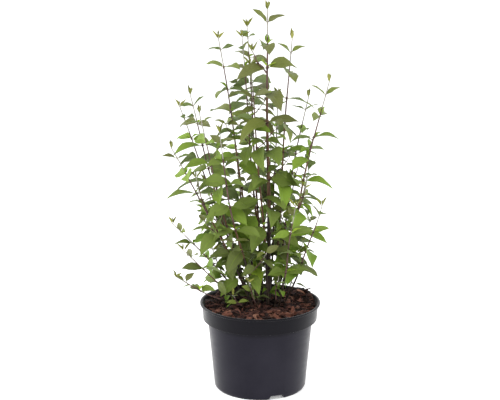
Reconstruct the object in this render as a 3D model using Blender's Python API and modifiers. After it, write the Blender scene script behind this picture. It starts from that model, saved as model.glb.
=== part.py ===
"""Young panicle hydrangea in leaf, in a round nursery pot.

Slender canes rise from a clump in the middle of the pot and carry pointed leaves in opposite pairs.
Each cane is bare at its foot and then enters its own spray of stem, twigs and leaves.
Metres, +Z up, origin on the ground under the middle of the pot, -Y is the side that faces the viewer.
"""

import math
from collections import namedtuple

import bmesh
import bpy
import numpy as np
from mathutils import Vector
from mathutils.bvhtree import BVHTree

MM = 0.001
CLEARANCE = 0.3 * MM

# Pot
POT_HEIGHT = 168 * MM
RIM_RADIUS = 115 * MM
LIP_DROP = 3.5 * MM
LIP_WIDTH = 4 * MM
LIP_BEVEL = 1.3 * MM
BAND_RADIUS = 110.2 * MM
BAND_TOP = 4.3 * MM  # below the rim, where the flat underside of the lip meets the band
BAND_TAPER = 1 * MM  # wider than BAND_RADIUS at the top, narrower at the foot
BAND_EDGE = 1.5 * MM  # bevel round the foot of the band
BAND_DROP = 32 * MM
STEP_SLOPE = 1 * MM  # the underside of the band is nearly flat
BODY_RADIUS = 100.4 * MM
FOOT_RADIUS = 88 * MM
FOOT_ROUNDING = 4 * MM
WALL = 2.2 * MM
FOOT_RING = 8 * MM
FLOOR_RAISED = 10 * MM
FLOOR_THICKNESS = 2.5 * MM
WELL_RADIUS = 28 * MM  # middle of the floor, which reaches the ground again
POT_STEPS = 28
NOTCH_COUNT = 3
NOTCH_BEARING = math.radians(-69)
NOTCH_SIZE = (34 * MM, 20 * MM, 8 * MM)  # width at the ground, depth, height
NOTCH_SLOPE = 5.5 * MM  # how far each side leans in on the way up
DRAIN_RADIUS = 5.5 * MM
DRAIN_DISTANCE = 60 * MM
DRAIN_SIDES = 10

# Filling: potting mix up to MIX_TOP, then bark mulch whose flat middle is the ground of the canes
MIX_TOP = 146 * MM
MULCH_LEVEL = 158 * MM
FILLING_INSET = 0.6 * MM  # from the wall
MULCH_FLAT_RADIUS = 60 * MM
MULCH_RINGS = (0.0, 30 * MM, MULCH_FLAT_RADIUS, 71 * MM, 83 * MM, 95 * MM)
MULCH_LUMP = 2.2 * MM
LUMP_WAVES = (190, 170, 310)  # radians per metre: along X, along Y and across both
LUMP_FADE = 16 * MM
MULCH_MOUND = ((92 * MM, 46 * MM), 16 * MM, 27 * MM)  # middle, height, spread of the heap by the rim

# Canes: foot (x, y) on the mulch and tip (x, y, z) in millimetres, bow (positive leans out low down and
# then straightens), foot radius in millimetres, bearing in degrees of the pair of leaves nearest the tip,
# and the seed that this cane's twigs and leaves are drawn by
Cane = namedtuple("Cane", "name foot tip bow girth turn seed")
CANES = (
    Cane("main", (16, 9), (12, -20, 725), -0.3, 4.8, 12, 41),
    Cane("left_tall", (-9, 22), (-78, 30, 668), -0.3, 2.4, 50, 612),
    Cane("back_tall", (4, 37), (-25, 60, 687), -0.2, 2.6, 45, 311),
    Cane("inner_left", (7, 20), (-34, 22, 672), 0.1, 2.4, 60, 295),
    Cane("inner_front", (15, -4), (-19, -10, 624), -0.3, 2.4, 60, 460),
    Cane("right_tall", (29, 22), (58, 10, 668), -0.35, 2.6, 5, 46),
    Cane("right_far", (38, 8), (126, -12, 593), -0.25, 2.5, 165, 872),
    Cane("right_back", (34, 32), (91, 42, 557), -0.6, 2.4, 170, 48),
    Cane("back_middle", (20, 44), (33, 72, 556), 0.4, 2.2, 30, 765),
    Cane("right_low", (46, 2), (114, -45, 368), 0.25, 1.9, 115, 965),
    Cane("left_far", (-21, 20), (-130, 4, 567), 0.15, 2.3, 25, 722),
    Cane("left_front", (-17, -4), (-112, -32, 538), 0.2, 2.1, 10, 52),
    Cane("left_back", (-25, 36), (-152, 42, 538), -0.1, 2.2, 60, 169),
    Cane("left_outer", (-14, -18), (-163, -56, 478), -0.15, 2.3, 10, 947),
    Cane("low_left", (-32, 14), (-166, -16, 326), -0.2, 1.7, 115, 631),
    Cane("low_left_front", (-40, 0), (-142, -74, 290), 0.0, 1.5, 110, 438),
    Cane("lowest_left", (-40, -17), (-155, -98, 246), 0.2, 1.4, 40, 738),
    Cane("front", (0, -22), (-74, -64, 508), 0.6, 2.2, 130, 342),
    Cane("front_right", (36, -14), (63, -88, 377), 0.1, 1.8, 110, 944),
    Cane("back_left", (-12, 50), (-54, 114, 500), 0.1, 2.2, 15, 603),
    Cane("back", (12, 50), (22, 136, 474), 0.1, 2.2, 25, 231),
    Cane("back_right", (31, 42), (98, 112, 410), 0.1, 2.0, 60, 62),
    Cane("back_low", (-35, 41), (-108, 124, 376), 0.1, 1.9, 40, 415),
)
# Fork arms: cane that forks, share of its height at the fork, tip in millimetres, bearing of the top pair
Fork = namedtuple("Fork", "cane share tip turn")
FORKS = (
    Fork("main", 0.79, (-16, -26, 650), 100),
    Fork("left_outer", 0.56, (-118, -62, 424), 100),
    Fork("right_far", 0.42, (84, -36, 400), 50),
    Fork("right_back", 0.5, (72, 52, 420), 75),
)
# Young shoots straight from the mulch, told like the canes
SHOOTS = (
    Cane("shoot_1", (-4, -36), (-22, -62, 226), 0.2, 1.1, 40, 141),
    Cane("shoot_2", (26, -28), (34, -50, 232), 0.1, 1.2, 100, 142),
    Cane("shoot_3", (-48, 24), (-92, 34, 262), 0.1, 1.2, 80, 143),
    Cane("shoot_4", (49, 22), (84, 56, 272), 0.1, 1.2, 60, 144),
    Cane("shoot_5", (-30, -34), (-52, -52, 196), 0.1, 1.0, 10, 145),
    Cane("shoot_6", (4, 52), (-4, 98, 290), 0.1, 1.2, 20, 146),
)
BARE_LENGTH = 40 * MM  # of each cane, from the mulch to where its spray begins
TIP_RADIUS = 0.8 * MM
TAPER_POWER = 0.85  # under 1 keeps a cane stout for longer
ROOT_FLARE = 0.15  # share of the foot's radius
FLARE_HEIGHT = 9 * MM
UPRIGHT_FOOT = 4 * MM
SWAY = 2.2 * MM
SWAY_WAVES = 7.5  # in radians, over the length of a cane
PATH_STEP = 85 * MM
ARM_SLENDER = 0.85  # an arm's radius at its fork, as a share of its cane's
ARM_BOW = 0.3
VIGOUR_LEAST = 0.76  # vigour scales a cane's leaves and gaps, by its girth
VIGOUR_PER_MM = 0.1
VIGOUR_MOST = 1.14

# Leaves. The pairs of a stem are counted from its tip: the first are close together, short and rise, those
# further down are far apart, long and hang. Each value runs from TOP to LOW as its share FADE**pair shrinks
GAP_TOP, GAP_LOW = 25 * MM, 50 * MM
LENGTH_TOP, LENGTH_LOW = 31 * MM, 66 * MM
RISE_TOP, RISE_LOW = math.radians(38), math.radians(-2)
DROOP_TOP, DROOP_LOW = math.radians(36), math.radians(58)
SIZE_FADE = 0.5
ANGLE_FADE = 0.65
ANGLE_SPREAD = math.radians(16)
BEARING_SPREAD = 0.3
ROLL_SPREAD = 0.45
SIZE_SPREAD = 0.14
GAP_SPREAD = 0.12
FIRST_LEAF = 20 * MM  # above the foot of a spray
LOW_ZONE, LOW_SHRINK = 60 * MM, 0.82  # the pairs in this zone above a spray's foot are smaller
LEAF_WIDTH = 0.52  # of its length
LEAF_WIDEST = 0.37  # of the way to its tip
LEAF_THICKNESS = 1.1 * MM
LEAF_FOLD = math.radians(16)
ROOT_SUNK = 0.5 * MM  # past the middle of the stem
TUFT_SUNK = 2.5 * MM  # below the stem's tip
TUFT_LENGTH = 22 * MM
TUFT_WIDTH = 0.42
TUFT_RISE = 1.25
TUFT_CURL = -0.25
CROWN_MIDDLE = (0.0, 15 * MM)
ROLL_MOST = 0.9  # upper faces turn outward by this much at the side of the crown
ROLL_REACH = 25 * MM

# Twigs grow in the axils of the lower pairs
TWIG_CHANCE = 0.4
TWIG_FIRST_PAIR = 3
TWIG_RADIUS = 0.8 * MM
TWIG_LENGTH = (34 * MM, 74 * MM)
TWIG_OUT, TWIG_UP = 0.7, 0.75  # of its length
TWIG_BOW = 0.35
TWIG_GAP = 20 * MM
TWIG_VIGOUR = 0.72

# Room kept between pieces, and how far a leaf that hits something is turned, lifted or lowered
STEM_ROOM = 0.8 * MM
LEAF_ROOM = 0.5 * MM
BLADE_START = 0.22  # of a leaf's length: nearer to its stem it may touch its own cane
HIT_RISES = (0.0, -0.3, 0.3)
HIT_TURNS = (0.0, 0.25, -0.25, 0.5, -0.5, 0.8, -0.8)
MULCH_ROOM = 5 * MM
RIM_ROOM = 4 * MM
MULCH_REACH = 84 * MM
LEAF_LOWEST = 100 * MM

SMOOTH_ANGLE = math.radians(35)

Leaf = namedtuple("Leaf", "root bearing rise droop length width roll order")
Stem = namedtuple("Stem", "points radii")
Spray = namedtuple("Spray", "name foot stems leaves")


def curve_path(start, tip, bow, phase, steps):
    """Points from start to tip: the sideways share runs ahead of the height by the bow, with a slight sway."""
    share = np.linspace(0, 1, steps + 1)[:, None]
    reach = share * (1 + bow * (1 - share))
    points = np.hstack([start[:2] + (tip[:2] - start[:2]) * reach, start[2] + (tip[2] - start[2]) * share])
    sway = SWAY * np.sin(np.pi * share) * np.sin(SWAY_WAVES * share + phase)
    return points + sway * np.array([math.cos(phase), math.sin(phase), 0.0])


def cane_path(cane, phase):
    """A cane's path from the mulch. It leaves the ground upright, so that its foot is cut flat."""
    ground = np.array([cane.foot[0] * MM, cane.foot[1] * MM, MULCH_LEVEL + CLEARANCE])
    rise = ground + np.array([0.0, 0.0, UPRIGHT_FOOT])
    tip = np.array(cane.tip) * MM
    steps = max(4, round(float(np.linalg.norm(tip - rise)) / PATH_STEP))
    return np.vstack([ground, curve_path(rise, tip, cane.bow, phase, steps)])


def along(points, distance):
    """The point at this distance along a path."""
    runs = np.concatenate([[0.0], np.cumsum(np.linalg.norm(np.diff(points, axis=0), axis=1))])
    return np.array([np.interp(distance, runs, points[:, axis]) for axis in range(3)])


def path_length(points):
    return float(np.linalg.norm(np.diff(points, axis=0), axis=1).sum())


def stretch(points, start, end):
    """The path's points between two distances along it, with exact ends."""
    runs = np.concatenate([[0.0], np.cumsum(np.linalg.norm(np.diff(points, axis=0), axis=1))])
    inner = points[(runs > start + MM) & (runs < end - MM)]
    return np.vstack([along(points, start), inner, along(points, end)])


def taper(points, foot_radius, tip_radius, origin, whole):
    """Radius at each point: a near-straight taper over the whole length, and a flare at the ground."""
    runs = origin + np.concatenate([[0.0], np.cumsum(np.linalg.norm(np.diff(points, axis=0), axis=1))])
    share = np.clip(1 - runs / whole, 0, 1)
    flare = ROOT_FLARE * foot_radius * np.exp(-runs / FLARE_HEIGHT)
    return tip_radius + (foot_radius - tip_radius) * share**TAPER_POWER + flare


def leaf_line(leaf, share):
    """Midrib point, side and normal at a share of the leaf's length: the midrib is an arc that droops."""
    share = np.atleast_1d(np.asarray(share, float))
    ahead = np.array([math.cos(leaf.bearing), math.sin(leaf.bearing), 0.0])
    up = np.array([0.0, 0.0, 1.0])
    slope = leaf.rise - leaf.droop * share
    out = leaf.length / leaf.droop * (math.sin(leaf.rise) - np.sin(slope))
    lift = leaf.length / leaf.droop * (np.cos(slope) - math.cos(leaf.rise))
    middle = leaf.root + out[:, None] * ahead + lift[:, None] * up
    flat_side = np.cross(up, ahead)
    square = np.cos(slope)[:, None] * up - np.sin(slope)[:, None] * ahead
    side = math.cos(leaf.roll) * flat_side + math.sin(leaf.roll) * square
    normal = math.cos(leaf.roll) * square - math.sin(leaf.roll) * flat_side
    return middle, side, normal


def leaf_kite(leaf, near=0.0, extra=0.0):
    """Six corners of a leaf, for an octahedron's: near end, tip, two sides, and middle above and below."""
    ends, _, _ = leaf_line(leaf, [near, 1.0])
    ends[0] -= ROOT_SUNK * np.array([math.cos(leaf.bearing), math.sin(leaf.bearing), 0.0])
    middle, side, normal = leaf_line(leaf, [LEAF_WIDEST])
    half = leaf.width * leaf.length / 2 + extra
    edge = side * half * math.cos(LEAF_FOLD)
    crease = normal * half * math.sin(LEAF_FOLD)
    thick = normal * (LEAF_THICKNESS / 2 + extra)
    return np.vstack([ends, middle + edge + crease, middle - edge + crease, middle + thick, middle - thick])


KITE_FACES = (
    (0, 4, 2), (0, 3, 4), (1, 2, 4), (1, 4, 3), (0, 2, 5), (0, 5, 3), (1, 5, 2), (1, 3, 5)
)


def stem_loft(stem, sides=4):
    """Corners and faces of a plain tube round a stem, a little fatter than it."""
    turn = np.linspace(0, 2 * np.pi, sides, endpoint=False)
    ring = np.stack([np.cos(turn), np.sin(turn), 0 * turn], axis=1)
    fatter = (stem.radii + STEM_ROOM) / math.cos(math.pi / sides)
    points = np.vstack([p + ring * r for p, r in zip(stem.points, fatter)])
    faces = [
        (base + k, base + (k + 1) % sides, base + sides + (k + 1) % sides, base + sides + k)
        for base in range(0, len(points) - sides, sides)
        for k in range(sides)
    ]
    return points, faces


class Room:
    """What has been placed so far, and on which cane. A twig or leaf is kept only where it clears all of it."""

    def __init__(self):
        self.trees = []
        self.lows = []
        self.highs = []
        self.owners = []

    def add(self, owner, points, faces):
        self.trees.append(BVHTree.FromPolygons([Vector(p) for p in points], faces))
        self.lows.append(points.min(axis=0))
        self.highs.append(points.max(axis=0))
        self.owners.append(owner)

    def clears(self, points, faces, others_than=None):
        """Whether a shape touches nothing, or nothing of other canes than the one named."""
        low, high = points.min(axis=0), points.max(axis=0)
        near = np.all((np.array(self.lows) < high) & (np.array(self.highs) > low), axis=1)
        near = [i for i in np.flatnonzero(near) if self.owners[i] != others_than]
        tree = BVHTree.FromPolygons([Vector(p) for p in points], faces)
        return not any(self.trees[i].overlap(tree) for i in near)


def in_reach(points):
    """Leaves stay above the mulch and outside the pot's wall."""
    radius = np.hypot(points[:, 0], points[:, 1])
    floor = np.where(radius < RIM_RADIUS + RIM_ROOM, POT_HEIGHT + MM, LEAF_LOWEST)
    floor = np.where(radius < MULCH_REACH, MULCH_LEVEL + MULCH_ROOM, floor)
    return bool(np.all(points[:, 2] > floor))


def settle(leaf, owner, room):
    """The leaf turned, and lifted or lowered, as little as clears the room, or None where nothing does."""
    for rise in HIT_RISES:
        for turn in HIT_TURNS:
            tried = leaf._replace(bearing=leaf.bearing + turn, rise=leaf.rise + rise)
            whole = leaf_kite(tried, extra=LEAF_ROOM)
            blade = leaf_kite(tried, near=BLADE_START, extra=LEAF_ROOM)
            if in_reach(blade) and room.clears(whole, KITE_FACES, owner) and room.clears(blade, KITE_FACES):
                room.add(owner, whole, KITE_FACES)
                return tried
    return None


def outward_roll(root, bearing):
    """Roll that turns a leaf's upper face away from the middle of the crown, as leaves turn to the light."""
    out = root[:2] - np.array(CROWN_MIDDLE)
    across = (out[1] * math.cos(bearing) - out[0] * math.sin(bearing)) / (ROLL_REACH + math.hypot(*out))
    return -ROLL_MOST * across


def spread(rng, most):
    return rng.uniform(-most, most)


def leaf_pair(root, bearing, order, vigour, rng):
    """Two opposite leaves. Order counts the pairs down from the tip."""
    young, lifted = SIZE_FADE**order, ANGLE_FADE**order
    for side in (0.0, math.pi):
        length = (LENGTH_LOW + (LENGTH_TOP - LENGTH_LOW) * young) * vigour * (1 + spread(rng, SIZE_SPREAD))
        rise = RISE_LOW + (RISE_TOP - RISE_LOW) * lifted + spread(rng, ANGLE_SPREAD)
        droop = DROOP_LOW + (DROOP_TOP - DROOP_LOW) * lifted + spread(rng, ANGLE_SPREAD)
        way = bearing + side + spread(rng, BEARING_SPREAD)
        roll = outward_roll(root, way) + spread(rng, ROLL_SPREAD)
        width = LEAF_WIDTH * (1 + spread(rng, SIZE_SPREAD))
        yield Leaf(root, way, rise, droop, length, width, roll, order)


def tip_tuft(root, bearing, vigour, rng):
    """The youngest pair of leaves at a growing tip, which stands up and has only begun to open."""
    opening = rng.uniform(0.15, 0.75)
    for side in (math.pi / 2, 1.5 * math.pi):
        rise = TUFT_RISE - opening + spread(rng, 0.1)
        length = TUFT_LENGTH * vigour * (1 + spread(rng, SIZE_SPREAD))
        yield Leaf(root, bearing + side, rise, TUFT_CURL, length, TUFT_WIDTH, 0.0, -1)


def dress_stem(owner, points, bare, turn, vigour, room, rng, twigs=True):
    """Leaves and twigs on one stem, from its tip down to its bare length."""
    whole = path_length(points)
    stems, wanted = [], list(tip_tuft(along(points, whole - TUFT_SUNK), turn, vigour, rng))
    place, order = whole, 0
    while True:
        gap = GAP_LOW + (GAP_TOP - GAP_LOW) * SIZE_FADE**order
        place -= gap * (1 + vigour) / 2 * (1 + spread(rng, GAP_SPREAD))
        if place < bare + FIRST_LEAF:
            break
        root = along(points, place)
        bearing = turn + order * math.pi / 2
        size = LOW_SHRINK if place < bare + LOW_ZONE else 1.0
        wanted += leaf_pair(root, bearing, order, vigour * size, rng)
        if twigs and order >= TWIG_FIRST_PAIR and rng.random() < TWIG_CHANCE:
            stem, leaves = side_twig(root, bearing + rng.choice([0.0, math.pi]), vigour, rng)
            end = Stem(stem.points[1:], stem.radii[1:])
            if room.clears(*stem_loft(end)) and room.clears(*stem_loft(stem), owner):
                room.add(owner, *stem_loft(stem))
                stems.append(stem)
                wanted += leaves
        order += 1
    return stems, wanted


def side_twig(root, bearing, vigour, rng):
    """A short twig from an axil, with small pairs of leaves and one at its end."""
    length = rng.uniform(*TWIG_LENGTH) * vigour
    ahead = np.array([math.cos(bearing) * TWIG_OUT, math.sin(bearing) * TWIG_OUT, TWIG_UP])
    points = curve_path(root, root + length * ahead, TWIG_BOW, rng.uniform(0, 6), 2)
    leaves = []
    for order, place in enumerate(np.arange(path_length(points) - TUFT_SUNK, 0.6 * TWIG_GAP, -TWIG_GAP)):
        turn = bearing + (order + 1) * math.pi / 2
        leaves += leaf_pair(along(points, place), turn, 0.4 + order, TWIG_VIGOUR * vigour, rng)
    radii = np.linspace(1.0, 0.7, len(points)) * TWIG_RADIUS
    return Stem(points, radii), leaves


def lay_cane(cane, is_shoot, rng):
    """The bare foot of a cane, the stem of its spray, its fork arms, and how far up the spray begins."""
    points = cane_path(cane, rng.uniform(0, 6))
    whole = path_length(points)
    split = 0.0 if is_shoot else BARE_LENGTH * rng.uniform(0.8, 1.35)
    gap = 0.0 if is_shoot else CLEARANCE / 2
    low = stretch(points, 0.0, max(split - gap, MM))
    foot = None if is_shoot else Stem(low, taper(low, cane.girth * MM, TIP_RADIUS, 0.0, whole))
    high = stretch(points, split + gap, whole)
    stem = Stem(high, taper(high, cane.girth * MM, TIP_RADIUS, split, whole))
    arms = []
    for fork in FORKS:
        if fork.cane == cane.name:
            base = along(points, fork.share * whole)
            arm = curve_path(base, np.array(fork.tip) * MM, ARM_BOW, rng.uniform(0, 6), 3)
            size = np.interp(fork.share * whole - split, np.linspace(0, whole - split, len(high)), stem.radii)
            past_flare = 2 * FLARE_HEIGHT
            radii = taper(arm, ARM_SLENDER * size, TIP_RADIUS, past_flare, path_length(arm) + past_flare)
            arms.append((fork, Stem(arm, radii)))
    return points, split, foot, stem, arms


def grow_plant(room):
    """Every cane's foot and spray, and the young shoots, by one seeded rule: stems, then twigs, then leaves."""
    laid = []
    for cane in CANES + SHOOTS:
        rng = np.random.default_rng(cane.seed)
        points, split, foot, stem, arms = lay_cane(cane, cane in SHOOTS, rng)
        for placed in [stem] + [arm for _, arm in arms] + ([foot] if foot else []):
            room.add(cane.name, *stem_loft(placed))
        laid.append((cane, rng, points, split, foot, stem, arms))
    dressed = []
    for cane, rng, points, split, foot, stem, arms in laid:
        vigour = min(VIGOUR_MOST, VIGOUR_LEAST + VIGOUR_PER_MM * cane.girth)
        turn = math.radians(cane.turn)
        twigs, wanted = dress_stem(cane.name, points, split, turn, vigour, room, rng, cane not in SHOOTS)
        stems = [stem] + [arm for _, arm in arms] + twigs
        for fork, arm in arms:
            turn = math.radians(fork.turn)
            wanted += dress_stem(cane.name, arm.points, 0.0, turn, 0.9 * vigour, room, rng, False)[1]
        dressed.append((cane.name, foot, stems, wanted))
    sprays = []
    for name, foot, stems, wanted in dressed:
        settled = [settle(leaf, name, room) for leaf in wanted]
        sprays.append(Spray(name, foot, stems, [leaf for leaf in settled if leaf]))
    return sprays


def material(name, colour, roughness, metallic=0.0):
    made = bpy.data.materials.new(name)
    made.use_nodes = True
    shader = made.node_tree.nodes["Principled BSDF"]
    shader.inputs["Base Color"].default_value = (*colour, 1.0)
    shader.inputs["Roughness"].default_value = roughness
    shader.inputs["Metallic"].default_value = metallic
    return made


def put(name, mesh, finish, collection):
    """A named object for a mesh, shaded smooth where its faces nearly meet flat."""
    made = bpy.data.objects.new(name, mesh)
    collection.objects.link(made)
    mesh.materials.clear()
    mesh.materials.append(finish)
    mesh.shade_smooth()
    mesh.set_sharp_from_angle(angle=SMOOTH_ANGLE)
    return made


def as_mesh(source, weld=0.02 * MM):
    """A new mesh from an object as the viewport evaluates it, with doubled points welded. The object goes."""
    bpy.context.view_layer.update()
    graph = bpy.context.evaluated_depsgraph_get()
    mesh = bpy.data.meshes.new_from_object(source.evaluated_get(graph))
    mesh.transform(source.matrix_world)
    bpy.data.objects.remove(source)
    shape = bmesh.new()
    shape.from_mesh(mesh)
    if weld:
        bmesh.ops.remove_doubles(shape, verts=shape.verts, dist=weld)
    shape.to_mesh(mesh)
    shape.free()
    return mesh


def keep_largest(mesh):
    """Only the outer skin of the largest piece: a sealed hollow is filled and a loose scrap is dropped."""
    shape = bmesh.new()
    shape.from_mesh(mesh)
    bmesh.ops.triangulate(shape, faces=shape.faces)
    waiting, pieces = set(shape.faces), []
    while waiting:
        front = [waiting.pop()]
        piece = []
        while front:
            face = front.pop()
            piece.append(face)
            for edge in face.edges:
                for other in edge.link_faces:
                    if other in waiting:
                        waiting.remove(other)
                        front.append(other)
        pieces.append(piece)
    volumes = [
        sum(f.verts[0].co.dot(f.verts[1].co.cross(f.verts[2].co)) for f in piece) for piece in pieces
    ]
    largest = volumes.index(max(volumes))
    scraps = [face for i, piece in enumerate(pieces) if i != largest for face in piece]
    bmesh.ops.delete(shape, geom=scraps, context="FACES")
    shape.to_mesh(mesh)
    shape.free()
    return len(pieces) - 1


def turned(name, profile, steps, collection):
    """A profile of (radius, height) points, turned round the Z axis. It runs down the outer side."""
    mesh = bpy.data.meshes.new(name)
    mesh.from_pydata([(r, 0.0, z) for r, z in profile], [(i, i + 1) for i in range(len(profile) - 1)], [])
    made = bpy.data.objects.new(name, mesh)
    collection.objects.link(made)
    screw = made.modifiers.new("Turn", "SCREW")
    screw.steps = screw.render_steps = steps
    screw.use_merge_vertices = True
    screw.merge_threshold = 0.05 * MM
    return made


def pot_outside():
    """The pot's outer side, top to bottom: lip, slightly tapered band, flat step, and tapered body."""
    lip = [
        (RIM_RADIUS - LIP_BEVEL, POT_HEIGHT),
        (RIM_RADIUS, POT_HEIGHT - LIP_BEVEL),
        (RIM_RADIUS, POT_HEIGHT - LIP_DROP),
    ]
    band = [
        (BAND_RADIUS + BAND_TAPER, POT_HEIGHT - BAND_TOP),
        (BAND_RADIUS - BAND_TAPER, POT_HEIGHT - BAND_DROP + BAND_EDGE),
        (BAND_RADIUS - BAND_TAPER - BAND_EDGE, POT_HEIGHT - BAND_DROP),
    ]
    body = [(BODY_RADIUS, POT_HEIGHT - BAND_DROP - STEP_SLOPE)]
    foot = [
        (FOOT_RADIUS, FOOT_ROUNDING),
        (FOOT_RADIUS - 0.3 * FOOT_ROUNDING, 0.3 * FOOT_ROUNDING),
        (FOOT_RADIUS - FOOT_ROUNDING, 0.0),
    ]
    return [*lip, *band, *body, *foot]


def pot_inside():
    """The wall's inner side, top to bottom: a wall's thickness in from the outer side, and up from its step."""
    band_top, band_low, band_foot, body, foot = (r - WALL for r, _ in pot_outside()[3:8])
    step = POT_HEIGHT - BAND_DROP + WALL
    heights = (POT_HEIGHT - BAND_TOP, step + BAND_EDGE, step, step - STEP_SLOPE, FOOT_ROUNDING)
    return list(zip((band_top, band_low, band_foot, body, foot), heights))


def wall_inside(height):
    """Inner radius of the pot's wall at a height above its floor."""
    radii, heights = zip(*reversed(pot_inside()))
    return float(np.interp(height, heights, radii))


def well_profile():
    """Middle of the floor, from the axis outward: flat at the ground, then up a slope to the raised floor."""
    return [(0.0, 0.0), (WELL_RADIUS - 2 * MM, 0.0), (WELL_RADIUS + 1 * MM, FLOOR_RAISED)]


def pot_profile():
    """The whole section of the pot: outer side, underside, inside from the middle up, and back over the lip."""
    outside = pot_outside()
    under = [
        (FOOT_RADIUS - FOOT_RING, 0.0),
        (FOOT_RADIUS - FOOT_RING - 1 * MM, FLOOR_RAISED),
        (WELL_RADIUS + 3 * MM, FLOOR_RAISED),
        (WELL_RADIUS, 0.0),
        (0.0, 0.0),
    ]
    floor_top = FLOOR_RAISED + FLOOR_THICKNESS
    inside = [(r, z + FLOOR_THICKNESS) for r, z in well_profile()]
    inside += [(wall_inside(floor_top), floor_top), *reversed(pot_inside()[:-1])]
    lip_inside = RIM_RADIUS - LIP_WIDTH
    lip = [(lip_inside - LIP_BEVEL, POT_HEIGHT - LIP_DROP), (lip_inside, POT_HEIGHT)]
    return outside + under + inside + lip + outside[:1]


def cutting(kind, number, cutters):
    """The active object as a hidden cutter, in the collection of cutters."""
    cutter = bpy.context.object
    cutter.name = f"cutter_{kind}_{number}"
    cutter.hide_render = True
    cutter.display_type = "WIRE"
    for home in list(cutter.users_collection):
        home.objects.unlink(cutter)
    cutters.objects.link(cutter)
    return cutter


def make_pot(finish, collection, cutters):
    """The turned pot, with notches cut in the side's foot and a drain hole behind each."""
    pot = put("pot", as_mesh(turned("pot_turning", pot_profile(), POT_STEPS, collection)), finish, collection)
    width, depth, height = NOTCH_SIZE
    for number in range(NOTCH_COUNT):
        bearing = NOTCH_BEARING + number * 2 * math.pi / NOTCH_COUNT
        ahead = Vector((math.cos(bearing), math.sin(bearing), 0.0))
        place = ahead * (FOOT_RADIUS - depth / 4)
        bpy.ops.mesh.primitive_cube_add(size=1, location=place, rotation=(0, 0, bearing))
        notch = cutting("notch", number + 1, cutters)
        notch.scale = (depth, width, 2 * height)
        for corner in notch.data.vertices:
            corner.co.y *= 1 - math.copysign(2 * NOTCH_SLOPE / width, corner.co.z)
        place = ahead * DRAIN_DISTANCE + Vector((0, 0, FLOOR_RAISED))
        bpy.ops.mesh.primitive_cylinder_add(
            vertices=DRAIN_SIDES, radius=DRAIN_RADIUS, depth=4 * FLOOR_THICKNESS, location=place
        )
        drain = cutting("drain", number + 1, cutters)
        for cutter in (notch, drain):
            cut = pot.modifiers.new(cutter.name, "BOOLEAN")
            cut.object = cutter
            cut.operation = "DIFFERENCE"
            cut.solver = "EXACT"


def mulch_height(x, y):
    """Height of the bark above its flat middle: lumps that fade in outside the clump, and one heap."""
    radius = math.hypot(x, y)
    fade = min(1.0, max(0.0, (radius - MULCH_FLAT_RADIUS) / LUMP_FADE))
    along_x, along_y, across = LUMP_WAVES
    lumps = math.sin(x * along_x + 1.0) * math.cos(y * along_y) + 0.6 * math.sin((x + y) * across)
    (mound_x, mound_y), mound_height, width = MULCH_MOUND
    far = math.hypot(x - mound_x, y - mound_y)
    return fade * (MULCH_LUMP * lumps + mound_height * math.exp(-((far / width) ** 2)))


def make_filling(mix_finish, mulch_finish, collection):
    """Potting mix up to its level, and a layer of bark on it with a lumpy top."""
    base = FLOOR_THICKNESS + CLEARANCE
    mix = [(0.0, MIX_TOP), (wall_inside(MIX_TOP) - FILLING_INSET, MIX_TOP)]
    mix += [(r - FILLING_INSET, z + FILLING_INSET) for r, z in pot_inside()[1:-1]]
    mix.append((wall_inside(FLOOR_RAISED + base) - FILLING_INSET, FLOOR_RAISED + base))
    mix += [(max(r - FILLING_INSET, 0.0), z + base) for r, z in reversed(well_profile())]
    put("potting_mix", as_mesh(turned("mix_turning", mix, POT_STEPS, collection)), mix_finish, collection)
    low = MIX_TOP + CLEARANCE
    inset = 1.5 * FILLING_INSET
    layer = [(r, MULCH_LEVEL) for r in (*MULCH_RINGS, wall_inside(MULCH_LEVEL) - inset - 1 * MM)]
    layer += [(wall_inside(low) - inset, low), (0.0, low)]
    mesh = as_mesh(turned("mulch_turning", layer, POT_STEPS, collection))
    for point in mesh.vertices:
        if point.co.z > low + MM:
            point.co.z += mulch_height(point.co.x, point.co.y)
    put("bark_mulch", mesh, mulch_finish, collection)


def tube(name, stem, resolution, collection):
    """A tapered stem as a curve with filled caps, its radius given point by point."""
    curve = bpy.data.curves.new(name, "CURVE")
    curve.dimensions = "3D"
    curve.bevel_depth = 1.0
    curve.bevel_resolution = resolution
    curve.use_fill_caps = True
    spline = curve.splines.new("POLY")
    spline.points.add(len(stem.points) - 1)
    for point, place, radius in zip(spline.points, stem.points, stem.radii):
        point.co = (*place, 1.0)
        point.radius = radius
    made = bpy.data.objects.new(name, curve)
    collection.objects.link(made)
    return made


def pressed_leaf(name, leaf, collection):
    """A leaf as an octahedron, pressed flat: its six corners move to the leaf's own."""
    corners = leaf_kite(leaf)
    near = {(-1, 0, 0): 0, (1, 0, 0): 1, (0, 1, 0): 2, (0, -1, 0): 3, (0, 0, 1): 4, (0, 0, -1): 5}
    shape = bmesh.new()
    bmesh.ops.create_uvsphere(shape, u_segments=4, v_segments=2, radius=1.0)
    for point in shape.verts:
        point.co = corners[near[tuple(round(c) for c in point.co)]]
    mesh = bpy.data.meshes.new(name)
    shape.to_mesh(mesh)
    shape.free()
    made = bpy.data.objects.new(name, mesh)
    collection.objects.link(made)
    return made


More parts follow.
